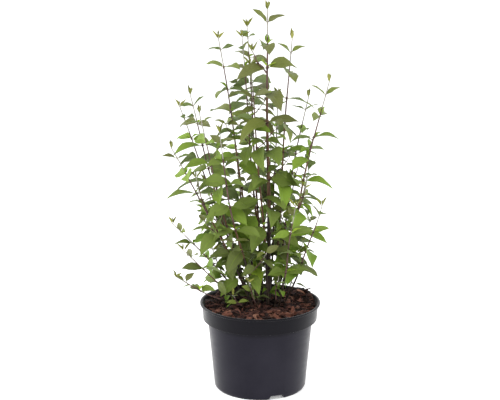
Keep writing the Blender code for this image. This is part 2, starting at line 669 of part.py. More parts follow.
def fuse(name, trunk, extras, finish, collection):
    """One solid from a stem and all that grows on it."""
    body = put(name, as_mesh(trunk), finish, collection)
    joining = bpy.data.collections.new(name + "_joining")
    bpy.context.scene.collection.children.link(joining)
    for extra in extras:
        for home in list(extra.users_collection):
            home.objects.unlink(extra)
        joining.objects.link(extra)
    join = body.modifiers.new("Join", "BOOLEAN")
    join.operand_type = "COLLECTION"
    join.collection = joining
    join.operation = "UNION"
    join.solver = "MANIFOLD"
    body_mesh = as_mesh(body, weld=None)
    keep_largest(body_mesh)
    for extra in list(joining.objects):
        bpy.data.objects.remove(extra)
    bpy.data.collections.remove(joining)
    return put(name, body_mesh, finish, collection)


def make_spray(spray, wood, green, collection):
    if spray.foot:
        put("cane_" + spray.name, as_mesh(tube("foot", spray.foot, 1, collection)), wood, collection)
    trunk, *twigs = [tube(f"stem_{i}", stem, 0, collection) for i, stem in enumerate(spray.stems)]
    extras = []
    for number, twig in enumerate(twigs):
        mesh = as_mesh(twig)
        extras.append(bpy.data.objects.new(f"twig_{number}", mesh))
        collection.objects.link(extras[-1])
    extras += [pressed_leaf(f"leaf_{i}", leaf, collection) for i, leaf in enumerate(spray.leaves)]
    name = spray.name if not spray.foot else "spray_" + spray.name
    fuse(name, trunk, extras, green, collection)


def main():
    for old in list(bpy.data.objects):
        bpy.data.objects.remove(old)
    plant = bpy.data.collections.new("potted_panicle_hydrangea")
    cutters = bpy.data.collections.new("cutters")
    for home in (plant, cutters):
        bpy.context.scene.collection.children.link(home)
    black = material("pot_plastic", (0.03, 0.03, 0.035), 0.42)
    soil = material("potting_mix", (0.03, 0.018, 0.012), 0.95)
    bark = material("bark_mulch", (0.11, 0.045, 0.025), 0.9)
    wood = material("cane_bark", (0.12, 0.045, 0.035), 0.6)
    green = material("leaf_green", (0.14, 0.26, 0.04), 0.5)
    make_pot(black, plant, cutters)
    make_filling(soil, bark, plant)
    for spray in grow_plant(Room()):
        make_spray(spray, wood, green, plant)


main()
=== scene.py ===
# %% [markdown]
# # A young panicle hydrangea in its nursery pot
#
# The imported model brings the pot, its filling, the foot of every cane and, for each cane, one plain solid of
# stem, twigs and leaves. In this lesson those solids are dressed. The pot gets its thin moulded wall, the
# filling its bark chips, and the canes their bark and joints. The leaves are grown again by the rule of the
# solids, so that each one sits where its plain kite sat, and get a real outline.
#
# Everything is in metres, +Z is up, and -Y is the side that faces the viewer.

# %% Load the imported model
import math
from collections import namedtuple
from functools import partial

import bpy
import numpy as np
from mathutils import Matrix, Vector
from mathutils.bvhtree import BVHTree


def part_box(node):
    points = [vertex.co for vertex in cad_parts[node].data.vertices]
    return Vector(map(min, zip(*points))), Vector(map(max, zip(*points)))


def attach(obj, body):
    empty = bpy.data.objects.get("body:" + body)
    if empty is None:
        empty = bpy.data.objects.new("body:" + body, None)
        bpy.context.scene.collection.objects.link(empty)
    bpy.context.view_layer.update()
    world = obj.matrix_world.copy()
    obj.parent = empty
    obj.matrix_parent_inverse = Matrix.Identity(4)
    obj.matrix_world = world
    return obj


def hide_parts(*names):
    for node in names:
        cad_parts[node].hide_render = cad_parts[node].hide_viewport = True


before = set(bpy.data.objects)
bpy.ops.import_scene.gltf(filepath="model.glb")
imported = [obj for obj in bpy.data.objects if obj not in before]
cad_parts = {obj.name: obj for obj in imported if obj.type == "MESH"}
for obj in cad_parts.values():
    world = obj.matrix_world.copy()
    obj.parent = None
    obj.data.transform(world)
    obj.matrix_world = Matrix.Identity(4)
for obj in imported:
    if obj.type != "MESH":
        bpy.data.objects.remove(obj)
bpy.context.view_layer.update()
MM = 0.001

# %% [markdown]
# ## Where the viewer stands
#
# The rim and the foot of a round pot are seen as two ellipses. How flat each is, and how much wider the rim
# looks, give the height and distance of the eye. A long lens from a little above is usual for a plant
# portrait, because a short one would make the nearest leaves too large.

# %% Camera
VIEW_WIDTH = 500  # pixels
FOCAL_LENGTH = 1257.4  # in pixels
SENSOR_WIDTH = 36.0  # millimetres
FURTHEST_SEEN = 100.0  # metres
EYE = (-0.0193, -2.3, 0.909)
LOOK_DOWN = math.radians(13.27)

camera = bpy.data.objects.new("camera", bpy.data.cameras.new("camera"))
bpy.context.scene.collection.objects.link(camera)
camera.location = EYE
camera.rotation_euler = (math.pi / 2 - LOOK_DOWN, 0.0, 0.0)
camera.data.sensor_width = SENSOR_WIDTH
camera.data.lens = FOCAL_LENGTH / VIEW_WIDTH * SENSOR_WIDTH
camera.data.clip_end = FURTHEST_SEEN
bpy.context.scene.camera = camera
print("lens:", round(camera.data.lens, 1), "mm")

# %% [markdown]
# ## Materials from a few nodes
#
# Every finish here starts from one Principled shader. Its base colour is either plain or a mix of two near
# colours by a noise, its roughness wanders a little, and a noise lifts the surface. Real plastic, bark and
# leaf differ mainly in the scale and the stretch of those noises, so a few helpers serve them all. The first
# three make a shader, a noise, and a value that follows one.


# %% Helpers for materials
def start_finish(name, colour, roughness):
    """A material with its Principled shader: (material, nodes, links, shader)."""
    made = bpy.data.materials.new(name)
    made.use_nodes = True
    tree = made.node_tree
    shader = tree.nodes["Principled BSDF"]
    shader.inputs["Base Color"].default_value = (*colour, 1.0)
    shader.inputs["Roughness"].default_value = roughness
    return made, tree.nodes, tree.links, shader


def pattern(nodes, links, scale, detail=3.0, stretch=(1.0, 1.0, 1.0), source="Object"):
    """A noise over Object or UV coordinates, stretched by a Mapping node. Gives its Fac socket."""
    mapping = nodes.new("ShaderNodeMapping")
    mapping.inputs["Scale"].default_value = stretch
    noise = nodes.new("ShaderNodeTexNoise")
    noise.inputs["Scale"].default_value = scale
    noise.inputs["Detail"].default_value = detail
    links.new(nodes.new("ShaderNodeTexCoord").outputs[source], mapping.inputs["Vector"])
    links.new(mapping.outputs["Vector"], noise.inputs["Vector"])
    return noise.outputs["Fac"]


def spread_over(nodes, links, fac, low, high, at=(0.35, 0.65)):
    """A value that runs from low to high as another, such as a noise, runs between two levels."""
    ranged = nodes.new("ShaderNodeMapRange")
    ranged.inputs["From Min"].default_value, ranged.inputs["From Max"].default_value = at
    ranged.inputs["To Min"].default_value, ranged.inputs["To Max"].default_value = low, high
    links.new(fac, ranged.inputs["Value"])
    return ranged.outputs["Result"]


print("materials before the first finish:", len(bpy.data.materials))

# %% [markdown]
# ## Light
#
# A leafy plant is easiest to read in a white room. Light from everywhere fills the gaps between the leaves, a
# large soft lamp from the upper left gives each leaf a bright and a dark side, and a weaker one from the
# right keeps that gentle. The room is dimmer behind the viewer than behind the plant, which black plastic
# shows most: its front mirrors the dim side and stays dark, while its edges mirror the white side.

# %% Room and lamps
ROOM_LIGHT = (0.82, 1.25)  # behind the viewer, and behind the plant
ROOM_TURN = (-0.9, 0.25)  # where one becomes the other, by the y of the direction
LAMPS = (  # name, place, size across and up, power in watts
    ("key_lamp", (-1.6, -2.2, 2.6), (1.6, 1.6), 41.0),
    ("fill_lamp", (1.3, -2.8, 1.7), (1.8, 1.8), 25.0),
    ("left_lamp", (-2.2, 0.9, 0.8), (0.7, 2.0), 54.0),
    ("right_lamp", (2.3, 0.9, 0.8), (0.7, 2.0), 25.0),
)
LAMP_AIM = Vector((0.0, 0.0, 0.35))

world = bpy.data.worlds.new("white_room")
world.use_nodes = True
nodes, links = world.node_tree.nodes, world.node_tree.links
background, split = nodes["Background"], nodes.new("ShaderNodeSeparateXYZ")
links.new(nodes.new("ShaderNodeTexCoord").outputs["Generated"], split.inputs["Vector"])
strength = spread_over(nodes, links, split.outputs["Y"], *ROOM_LIGHT, at=ROOM_TURN)
links.new(strength, background.inputs["Strength"])
background.inputs["Color"].default_value = (1.0, 1.0, 1.0, 1.0)
bpy.context.scene.world = world
bpy.context.scene.view_settings.view_transform = "Standard"

for name, place, (across, up), power in LAMPS:
    lamp = bpy.data.lights.new(name, "AREA")
    lamp.shape = "RECTANGLE"
    lamp.size, lamp.size_y, lamp.energy = across, up, power
    lamp_object = bpy.data.objects.new(name, lamp)
    lamp_object.location = place
    lamp_object.rotation_euler = (LAMP_AIM - Vector(place)).to_track_quat("-Z", "Y").to_euler()
    bpy.context.scene.collection.objects.link(lamp_object)
print("lamps:", len(LAMPS))

# %% [markdown]
# ## Bodies skinned over rings
#
# A cane, a leaf stalk, a bark chip and even a leaf are the same kind of body: a ring of points is carried
# along a path while its size and shape change, and each end closes on one point. A leaf is only a very flat
# ring. So one function that skins the rings of many bodies together makes nearly everything on this plant,
# and no body is ever left open.


# %% Skin many bodies at once
def strips(stations, around, crossed=()):
    """Ring number and point number of each quad's four corners: points k and k + 1 of ring r, then of r + 1.

    A quad is drawn as two triangles, split from its first corner. The strips named as crossed start one
    corner later, so that they are split along their other diagonal.
    """
    r, k = np.meshgrid(np.arange(stations - 1), np.arange(around), indexing="ij")
    rows, columns = np.stack([r, r, r + 1, r + 1], axis=-1), np.stack([k, k + 1, k + 1, k], axis=-1)
    for numbers in (rows, columns):
        numbers[:, list(crossed)] = np.roll(numbers[:, list(crossed)], -1, axis=-1)
    return rows.reshape(-1, 4), columns.reshape(-1, 4)


def skin(rings, start, end, crossed=()):
    """Points, quads and triangles of bodies skinned over rings[body, ring, point], which run anticlockwise
    seen from the end. A fan of triangles closes the first ring on the start point, and the last on the end.
    """
    bodies, stations, around, _ = rings.shape
    each = stations * around + 2
    points = np.concatenate([rings.reshape(bodies, -1, 3), start[:, None], end[:, None]], axis=1)
    rows, columns = strips(stations, around, crossed)
    quads, k = rows * around + columns % around, np.arange(around)
    after, last = (k + 1) % around, (stations - 1) * around
    first_fan = np.stack([np.full(around, each - 2), after, k], axis=1)
    last_fan = np.stack([np.full(around, each - 1), last + k, last + after], axis=1)
    shift = (np.arange(bodies) * each)[:, None, None]
    triangles = np.concatenate([first_fan, last_fan])
    return points.reshape(-1, 3), (quads + shift).reshape(-1, 4), (triangles + shift).reshape(-1, 3)


tube = skin(np.zeros((1, 3, 6, 3)), np.zeros((1, 3)), np.zeros((1, 3)))
print("a tube of 3 rings of 6:", *map(len, tube), "points, quads and triangles")

# %% [markdown]
# ## From arrays to an object
#
# Blender can take a whole mesh at once from flat arrays, with no loop over its points. A piece is smooth but
# for the edges that bend by more than its crease, and it stays at the origin with its place in its mesh. Then
# it is put on the plant's one body, and the imported solids it stands for are hidden.


# %% Make a piece and put it on the plant
def make_piece(name, shape, finishes, slots=0, flat_map=None, crease=45.0):
    """A mesh object from whole arrays of points, quads and triangles."""
    points, quads, triangles = shape
    corners = np.concatenate([quads.ravel(), triangles.ravel()]).astype(np.int32)
    sizes = np.concatenate([np.full(len(quads), 4), np.full(len(triangles), 3)])
    starts = np.concatenate([[0], np.cumsum(sizes)[:-1]]).astype(np.int32)
    mesh = bpy.data.meshes.new(name)
    mesh.vertices.add(len(points))
    mesh.vertices.foreach_set("co", points.astype(np.float32).ravel())
    mesh.loops.add(len(corners))
    mesh.loops.foreach_set("vertex_index", corners)
    mesh.polygons.add(len(sizes))
    mesh.polygons.foreach_set("loop_start", starts)
    for finish in finishes:
        mesh.materials.append(finish)
    mesh.polygons.foreach_set("material_index", np.broadcast_to(slots, len(sizes)).astype(np.int32))
    if flat_map is not None:
        layer = mesh.uv_layers.new(name="surface_map")
        layer.data.foreach_set("uv", flat_map.astype(np.float32).ravel())
    mesh.update(calc_edges=True)
    mesh.shade_smooth()
    mesh.set_sharp_from_angle(angle=math.radians(crease))
    made = bpy.data.objects.new(name, mesh)
    bpy.context.scene.collection.objects.link(made)
    return made


def report(piece):
    """Prints a piece's size in triangles and its box in millimetres."""
    mesh = piece.data
    mesh.calc_loop_triangles()
    place = np.empty(len(mesh.vertices) * 3, np.float32)
    mesh.vertices.foreach_get("co", place)
    place = place.reshape(-1, 3) / MM
    print(piece.name, len(mesh.loop_triangles), "triangles", place.min(0).round(), place.max(0).round())


def add_to_plant(piece, slot, *nodes):
    """Puts a piece on the body, hides the solids it stands for, and prints its size. The slot is not used."""
    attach(piece, "root")
    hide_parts(*nodes)
    report(piece)


def heading(turn):
    """Level unit vectors turned from +X by an angle: its cosine, its sine and nothing."""
    return np.stack([np.cos(turn), np.sin(turn), 0 * turn], axis=-1)


def evenly_round(count):
    """Angles of a count of bearings, evenly spaced round a circle."""
    return np.linspace(0, 2 * math.pi, count, endpoint=False)


def unit(vectors):
    """The vectors scaled to a length of one."""
    return vectors / np.linalg.norm(vectors, axis=-1, keepdims=True)


UP = np.array([0.0, 0.0, 1.0])
print("up:", UP)

# %% [markdown]
# ## The floor
#
# The floor is a disc so wide that its rim is never seen. It is nearly white and glows a little, as the top of
# a light table does, and so hardly any shadow shows on it.

# %% Floor
FLOOR_RADII = np.array([30.0, 4.0, 0.4])  # metres
FLOOR_DEPTH = 1.0
FLOOR_GLOW = 0.25

floor_finish, nodes, links, shader = start_finish("studio_floor", (0.95, 0.95, 0.95), 0.9)
links.new(spread_over(nodes, links, pattern(nodes, links, 3.0), 0.85, 0.95), shader.inputs["Roughness"])
shader.inputs["Emission Color"].default_value = (1.0, 1.0, 1.0, 1.0)
shader.inputs["Emission Strength"].default_value = FLOOR_GLOW
circle = heading(evenly_round(96))
floor_rings = circle[None, None] * FLOOR_RADII[None, :, None, None]
middle = np.zeros((1, 3))
floor = make_piece("floor", skin(floor_rings, middle - FLOOR_DEPTH * UP, middle), [floor_finish])
report(floor)

# %% [markdown]
# ## The pot
#
# A nursery pot is thin black plastic, moulded in one shot: a bead at the lip, an upright band that stiffens
# the mouth, a step that pots rest on when they are stacked, a tapered body, and a foot ring with notches for
# the water. Nearly all of it is round, so its section is worked out once, with each corner rounded by a short
# curve, and turned about the axis. A guard point beside each curve keeps its smooth shading from running into
# the straight side.

# %% The section of the pot
POT_HEIGHT = 168 * MM
RIM_RADIUS = 115 * MM
LIP_DROP = 3.5 * MM
LIP_WIDTH = 4 * MM
LIP_BEVEL = 1.3 * MM
BAND_RADIUS = 110.2 * MM
BAND_TOP = 4.3 * MM
BAND_TAPER = 1 * MM
BAND_DROP = 32 * MM
STEP_SLOPE = 1 * MM
BODY_RADIUS = 100.4 * MM
FOOT_RADIUS = 88 * MM
FOOT_ROUNDING = 4 * MM
WALL = 2.2 * MM
FOOT_RING = 8 * MM
FLOOR_RAISED = 10 * MM
FLOOR_THICKNESS = 2.5 * MM
WELL_RADIUS = 28 * MM
GUARD = 0.5  # of a rounding: how far beyond its curve the guard points stand


def rounded(corners, steps=5):
    """A section with rounded corners, each told as (radius, height, rounding). The curve is the parabola that
    leaves one side and meets the other at the rounding's distance from the corner."""
    corners = np.array(corners)
    place, rounding = corners[:, :2], corners[1:-1, 2:3]
    corner = place[1:-1]
    t = np.linspace(0, 1, steps)[None, :, None]
    ends = []
    for side in (place[:-2] - corner, place[2:] - corner):
        ends.append(corner + unit(side) * rounding)
    curves = (1 - t) ** 2 * ends[0][:, None] + 2 * t * (1 - t) * corner[:, None] + t**2 * ends[1][:, None]
    guards = [(end + GUARD * (end - corner))[:, None] for end in ends]
    curves = np.concatenate([guards[0], curves, guards[1]], axis=1)
    return np.concatenate([place[:1], curves.reshape(-1, 2), place[-1:]])


band_low = POT_HEIGHT - BAND_DROP
body_slope = (BODY_RADIUS - FOOT_RADIUS) / (band_low - STEP_SLOPE - FOOT_ROUNDING)
floor_top = FLOOR_RAISED + FLOOR_THICKNESS
floor_edge = FOOT_RADIUS + body_slope * floor_top - WALL
SECTION = rounded([
    (1 * MM, 0, 0),
    (WELL_RADIUS, 0, 1 * MM),
    (WELL_RADIUS + 3 * MM, FLOOR_RAISED, 1.5 * MM),
    (FOOT_RADIUS - FOOT_RING - 1 * MM, FLOOR_RAISED, 1.5 * MM),
    (FOOT_RADIUS - FOOT_RING, 0, 1 * MM),
    (FOOT_RADIUS - 0.5 * FOOT_ROUNDING, 0, 1.2 * MM),
    (FOOT_RADIUS, FOOT_ROUNDING, 1.6 * MM),
    (BODY_RADIUS, band_low - STEP_SLOPE, 1.2 * MM),
    (BAND_RADIUS - BAND_TAPER, band_low, 0.4 * MM),
    (BAND_RADIUS + BAND_TAPER, POT_HEIGHT - BAND_TOP, 0.6 * MM),
    (RIM_RADIUS, POT_HEIGHT - LIP_DROP, 1.0 * MM),
    (RIM_RADIUS, POT_HEIGHT, LIP_BEVEL),
    (RIM_RADIUS - LIP_WIDTH, POT_HEIGHT, 0.9 * MM),
    (RIM_RADIUS - LIP_WIDTH - LIP_BEVEL, POT_HEIGHT - LIP_DROP, 1.0 * MM),
    (BAND_RADIUS - BAND_TAPER - WALL, band_low + WALL, 1.6 * MM),
    (BODY_RADIUS - WALL, band_low + WALL - STEP_SLOPE, 1.2 * MM),
    (floor_edge, floor_top, 3 * MM),
    (WELL_RADIUS + 1 * MM, floor_top, 1.5 * MM),
    (WELL_RADIUS - 2 * MM, FLOOR_THICKNESS, 1.5 * MM),
    (1 * MM, FLOOR_THICKNESS, 0),
])
print("points in the section:", len(SECTION))

# %% [markdown]
# The notches need no cutting: where the foot ring has one, the lowest points of the section are lifted. A few
# more bearings at the slopes of each notch keep its edges crisp.

# %% Turn the section and lift the notches
POT_ANGLES = 150
NOTCH_COUNT = 3
NOTCH_BEARING = math.radians(-69)
NOTCH_HALF_WIDTH = 17 * MM
NOTCH_SLOPE = 5.5 * MM
NOTCH_HEIGHT = 8 * MM
NOTCH_REACH = 70 * MM


def notch_lift(bearing):
    """Height of the notches at a bearing: full in the middle, down a slope at each side, else nothing."""
    turn = 2 * math.pi / NOTCH_COUNT
    away = np.abs((bearing - NOTCH_BEARING + turn / 2) % turn - turn / 2) * FOOT_RADIUS
    rise = np.clip((NOTCH_HALF_WIDTH - away) / NOTCH_SLOPE, 0, 1)
    return NOTCH_HEIGHT * rise * rise * (3 - 2 * rise)


edges = (NOTCH_HALF_WIDTH - NOTCH_SLOPE * np.linspace(0, 1, 6)) / FOOT_RADIUS
edges = NOTCH_BEARING + np.concatenate([edges, -edges])
edges = (edges[:, None] + np.arange(NOTCH_COUNT) * 2 * math.pi / NOTCH_COUNT).ravel() % (2 * math.pi)
bearing = np.unique(np.concatenate([evenly_round(POT_ANGLES), edges]))
radius, height = SECTION[:, 0][:, None], np.repeat(SECTION[:, 1][:, None], len(bearing), axis=1)
height = np.where(radius > NOTCH_REACH, np.maximum(height, notch_lift(bearing)), height)
pot_rings = np.stack([radius * np.cos(bearing), radius * np.sin(bearing), height], axis=-1)[None]
poles = np.array([[[0, 0, 0.0]], [[0, 0, FLOOR_THICKNESS]]])
print("bearings round the pot:", len(bearing))

# %% [markdown]
# The plastic has a satin skin, and is a dark blue-grey rather than true black. The band round the mouth is
# given a darker colour, a painted shade, and the body below has broad patches of two tones. The colour runs
# from one to the other by the height, about the step. A little sheen, as of dust, catches the light at a
# grazing angle. A very fine grain breaks the highlight, and short level streaks, one noise squeezed along the
# pot's height, are the marks of stacking.

# %% Pot plastic
# The band's darker colour is a painted shade, and the body's two tones are its own.
PAINTED_SHADE_BAND = (0.0029, 0.0026, 0.0050)
BODY_TONES = ((0.0090, 0.0083, 0.0146), (0.0142, 0.0132, 0.0208))
PAINTED_SHADE_HEIGHTS = (126 * MM, 137 * MM)  # the band's painted shade gives way to the body's tones between these heights
DUST_SHEEN = 0.38


def two_tones(nodes, links, fac, first, second, at=(0.38, 0.62)):
    """A colour between two by a noise."""
    ramp = nodes.new("ShaderNodeValToRGB")
    for stop, place, colour in zip(ramp.color_ramp.elements, at, (first, second)):
        stop.position, stop.color = place, (*colour, 1.0)
    links.new(fac, ramp.inputs["Fac"])
    return ramp.outputs["Color"]


def relief(nodes, links, shader, height, depth, strength):
    """Lifts the surface by a height from nodes, in metres of depth."""
    bump = nodes.new("ShaderNodeBump")
    bump.inputs["Strength"].default_value = strength
    bump.inputs["Distance"].default_value = depth
    links.new(height, bump.inputs["Height"])
    links.new(bump.outputs["Normal"], shader.inputs["Normal"])


pot_plastic, nodes, links, shader = start_finish("pot_plastic", PAINTED_SHADE_BAND, 0.38)
haze = pattern(nodes, links, 9.0, 5.0)
streaks = pattern(nodes, links, 40.0, 2.0, stretch=(1.0, 1.0, 9.0))
height = nodes.new("ShaderNodeSeparateXYZ")
links.new(nodes.new("ShaderNodeTexCoord").outputs["Object"], height.inputs["Vector"])
# Mixed by the height: from the step up, the colour is the band's painted shade.
painted_shade_mix = nodes.new("ShaderNodeMix")
painted_shade_mix.data_type = "RGBA"
links.new(spread_over(nodes, links, height.outputs["Z"], 0.0, 1.0, at=PAINTED_SHADE_HEIGHTS), painted_shade_mix.inputs["Factor"])
links.new(two_tones(nodes, links, haze, *BODY_TONES), painted_shade_mix.inputs["A"])
painted_shade_mix.inputs["B"].default_value = (*PAINTED_SHADE_BAND, 1.0)
links.new(painted_shade_mix.outputs["Result"], shader.inputs["Base Color"])
links.new(spread_over(nodes, links, streaks, 0.33, 0.43), shader.inputs["Roughness"])
relief(nodes, links, shader, pattern(nodes, links, 900.0, 2.0), 0.05 * MM, 0.25)
shader.inputs["Specular IOR Level"].default_value = 0.105
shader.inputs["Sheen Weight"].default_value = DUST_SHEEN
shader.inputs["Sheen Roughness"].default_value = 0.3
print("nodes in the plastic:", len(nodes))

# %% [markdown]
# Only the drain holes are cut. Each cutter is a short tube, and Blender's exact Boolean takes it out of the
# raised floor. It is applied at once, so that the pot is a plain closed mesh again.

# %% Drain holes and the finished pot
DRAIN_RADIUS = 5.5 * MM
DRAIN_DISTANCE = 60 * MM
DRAIN_HALF = np.array([0, 0, 8 * MM])  # half the length of a cutter


def drilled(piece, cutters, crease):
    """The piece with every cutter taken out of it by a Boolean that is applied at once."""
    for cutter in cutters:
        hole = piece.modifiers.new(cutter.name, "BOOLEAN")
        hole.object, hole.operation, hole.solver = cutter, "DIFFERENCE", "EXACT"
    bpy.context.view_layer.update()
    graph = bpy.context.evaluated_depsgraph_get()
    mesh = bpy.data.meshes.new_from_object(piece.evaluated_get(graph))
    piece.modifiers.clear()
    piece.data = mesh
    for cutter in cutters:
        bpy.data.objects.remove(cutter)
    mesh.shade_smooth()
    mesh.set_sharp_from_angle(angle=math.radians(crease))
    return piece


pot = make_piece("pot_shell", skin(pot_rings, *poles), [pot_plastic], crease=40.0)
drains = []
for number in range(NOTCH_COUNT):
    way = NOTCH_BEARING + number * 2 * math.pi / NOTCH_COUNT
    centre = heading(way) * DRAIN_DISTANCE + FLOOR_RAISED * UP
    disc = circle[::4] * DRAIN_RADIUS
    tube = np.stack([disc - DRAIN_HALF, disc + DRAIN_HALF])[None] + centre
    ends = centre[None] - DRAIN_HALF, centre[None] + DRAIN_HALF
    drains.append(make_piece(f"drain_{number}", skin(tube, *ends), [pot_plastic]))
add_to_plant(drilled(pot, drains, 40.0), "pot_plastic", "pot")

# %% [markdown]
# ## Potting mix and bark
#
# The pot is filled with dark potting mix, which shows only through the drain holes, so its solid stays and
# gets a crumbly finish. On top lies shredded bark. Its ground is one dark lumpy surface, worked out on rings,
# and the chips are scattered on that. The broad lumps and the heap by the rim are the solid's own, and many
# short waves on top of them make the crumbs.

# %% The height of the ground
MULCH_LEVEL = 158 * MM
MULCH_FLAT_RADIUS = 60 * MM
MULCH_LUMP = 2.2 * MM
LUMP_WAVES = (190, 170, 310)  # radians per metre
LUMP_FADE = 16 * MM
MULCH_MOUND = ((92 * MM, 46 * MM), 16 * MM, 27 * MM)  # place, height and width of the heap
LUMP_START, LUMP_CROSS = 1.0, 0.6  # where the first wave begins, and the share of the slanting one
CRUMB_COUNT, CRUMB_PEAK = 26, 7.0  # waves, and about what they add up to at most
CRUMB_HEIGHT = 0.9 * MM

crumb_rng = np.random.default_rng(7)
CRUMB_WAYS = crumb_rng.uniform(0, 2 * math.pi, CRUMB_COUNT)
CRUMB_WAVES = 2 * math.pi / crumb_rng.uniform(5 * MM, 17 * MM, CRUMB_COUNT)
CRUMB_STARTS = crumb_rng.uniform(0, 2 * math.pi, CRUMB_COUNT)


def mulch_height(x, y):
    """Height above the flat middle, as in the solid: lumps outside the clump and one heap by the rim."""
    fade = np.clip((np.hypot(x, y) - MULCH_FLAT_RADIUS) / LUMP_FADE, 0, 1)
    along_x, along_y, across = LUMP_WAVES
    lumps = np.sin(x * along_x + LUMP_START) * np.cos(y * along_y) + LUMP_CROSS * np.sin((x + y) * across)
    (mound_x, mound_y), mound_height, width = MULCH_MOUND
    far = np.hypot(x - mound_x, y - mound_y)
    return fade * (MULCH_LUMP * lumps + mound_height * np.exp(-((far / width) ** 2)))


def crumbs(x, y):
    """A rough field from about minus one to one: many short waves in all directions, added up."""
    run = x[..., None] * np.cos(CRUMB_WAYS) + y[..., None] * np.sin(CRUMB_WAYS)
    return np.sin(run * CRUMB_WAVES + CRUMB_STARTS).sum(axis=-1) / CRUMB_PEAK


def ground(x, y):
    """Height of the bark's ground at a place."""
    return MULCH_LEVEL + mulch_height(x, y) + CRUMB_HEIGHT * crumbs(x, y)


ground_middle = float(ground(np.zeros(1), np.zeros(1))[0])
print("ground in the middle:", round(ground_middle / MM, 1), "mm")

# %% [markdown]
# The surface is skinned over rings like any other body. Its first rings run out along the underside of the
# layer, the others come back in over the top, and the top sinks a little where it meets the wall. Its finish,
# like those of the canes and chips, follows a recipe in which one noise leads colour, roughness and relief.


# %% Crumbly finishes
def two_tone_finish(name, dark, light, noise, rough, lift, shine, at=(0.38, 0.62), lumps=None):
    """A finish led by one noise. With it the colour goes from dark to light, and the roughness from its first
    value to its second. The same noise, or a second one called lumps, lifts the surface by the depth and
    strength that lift gives."""
    made, nodes, links, shader = start_finish(name, dark, rough[0])
    fac = pattern(nodes, links, **noise)
    links.new(two_tones(nodes, links, fac, dark, light, at), shader.inputs["Base Color"])
    links.new(spread_over(nodes, links, fac, *rough), shader.inputs["Roughness"])
    relief(nodes, links, shader, pattern(nodes, links, **lumps) if lumps else fac, *lift)
    shader.inputs["Specular IOR Level"].default_value = shine
    return made


def crumbly(name, dark, light):
    """Finish of mixed dark crumbs: two tones by a fine noise, and a relief by a coarser one."""
    fine, coarse = dict(scale=260.0, detail=6.0), dict(scale=320.0, detail=5.0)
    return two_tone_finish(name, dark, light, fine, (0.95, 0.75), (1.2 * MM, 0.9), 0.2, (0.4, 0.7), coarse)


mix_finish = crumbly("potting_mix", (0.012, 0.008, 0.006), (0.05, 0.028, 0.018))
ground_finish = crumbly("bark_ground", (0.011, 0.006, 0.004), (0.055, 0.022, 0.013))
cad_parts["potting_mix"].material_slots[0].material = mix_finish
print("crumbly finishes:", mix_finish.name, "and", ground_finish.name)

# %% The ground
MIX_TOP = 146 * MM
CLEARANCE = 0.3 * MM
UNDERSIDE_RINGS = [2, 50, 100, 106]  # radii in millimetres
MULCH_EDGE = 107.3 * MM
EDGE_SINKS = (99 * MM, 8 * MM, 2.5 * MM)  # from this radius, over this width, by this depth

ring_radius = np.concatenate([UNDERSIDE_RINGS, np.linspace(MULCH_EDGE / MM, 1.5, 54)]) * MM
round_angle = evenly_round(POT_ANGLES)
x, y = ring_radius[:, None] * np.cos(round_angle), ring_radius[:, None] * np.sin(round_angle)
sink_start, sink_width, sink_depth = EDGE_SINKS
top = ground(x, y) - sink_depth * np.clip((np.hypot(x, y) - sink_start) / sink_width, 0, 1) ** 2
layer_low = MIX_TOP + CLEARANCE
z = np.where(np.arange(len(ring_radius))[:, None] < len(UNDERSIDE_RINGS), layer_low, top)
bark_shape = skin(np.stack([x, y, z], axis=-1)[None], layer_low * UP[None], ground_middle * UP[None])
bark_ground = make_piece("bark_ground", bark_shape, [ground_finish], crease=60.0)
add_to_plant(bark_ground, "bark_mulch", "bark_mulch")

# %% [markdown]
# ## The canes
#
# A panicle hydrangea sends up a clump of thin straight canes that lean outward a little and end in a pair of
# folded young leaves. The table gives each cane its foot on the bark and its tip, and a curve between them
# leans out or in by the bow. Names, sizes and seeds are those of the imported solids, so that the fine canes
# and leaves grow in the same places.

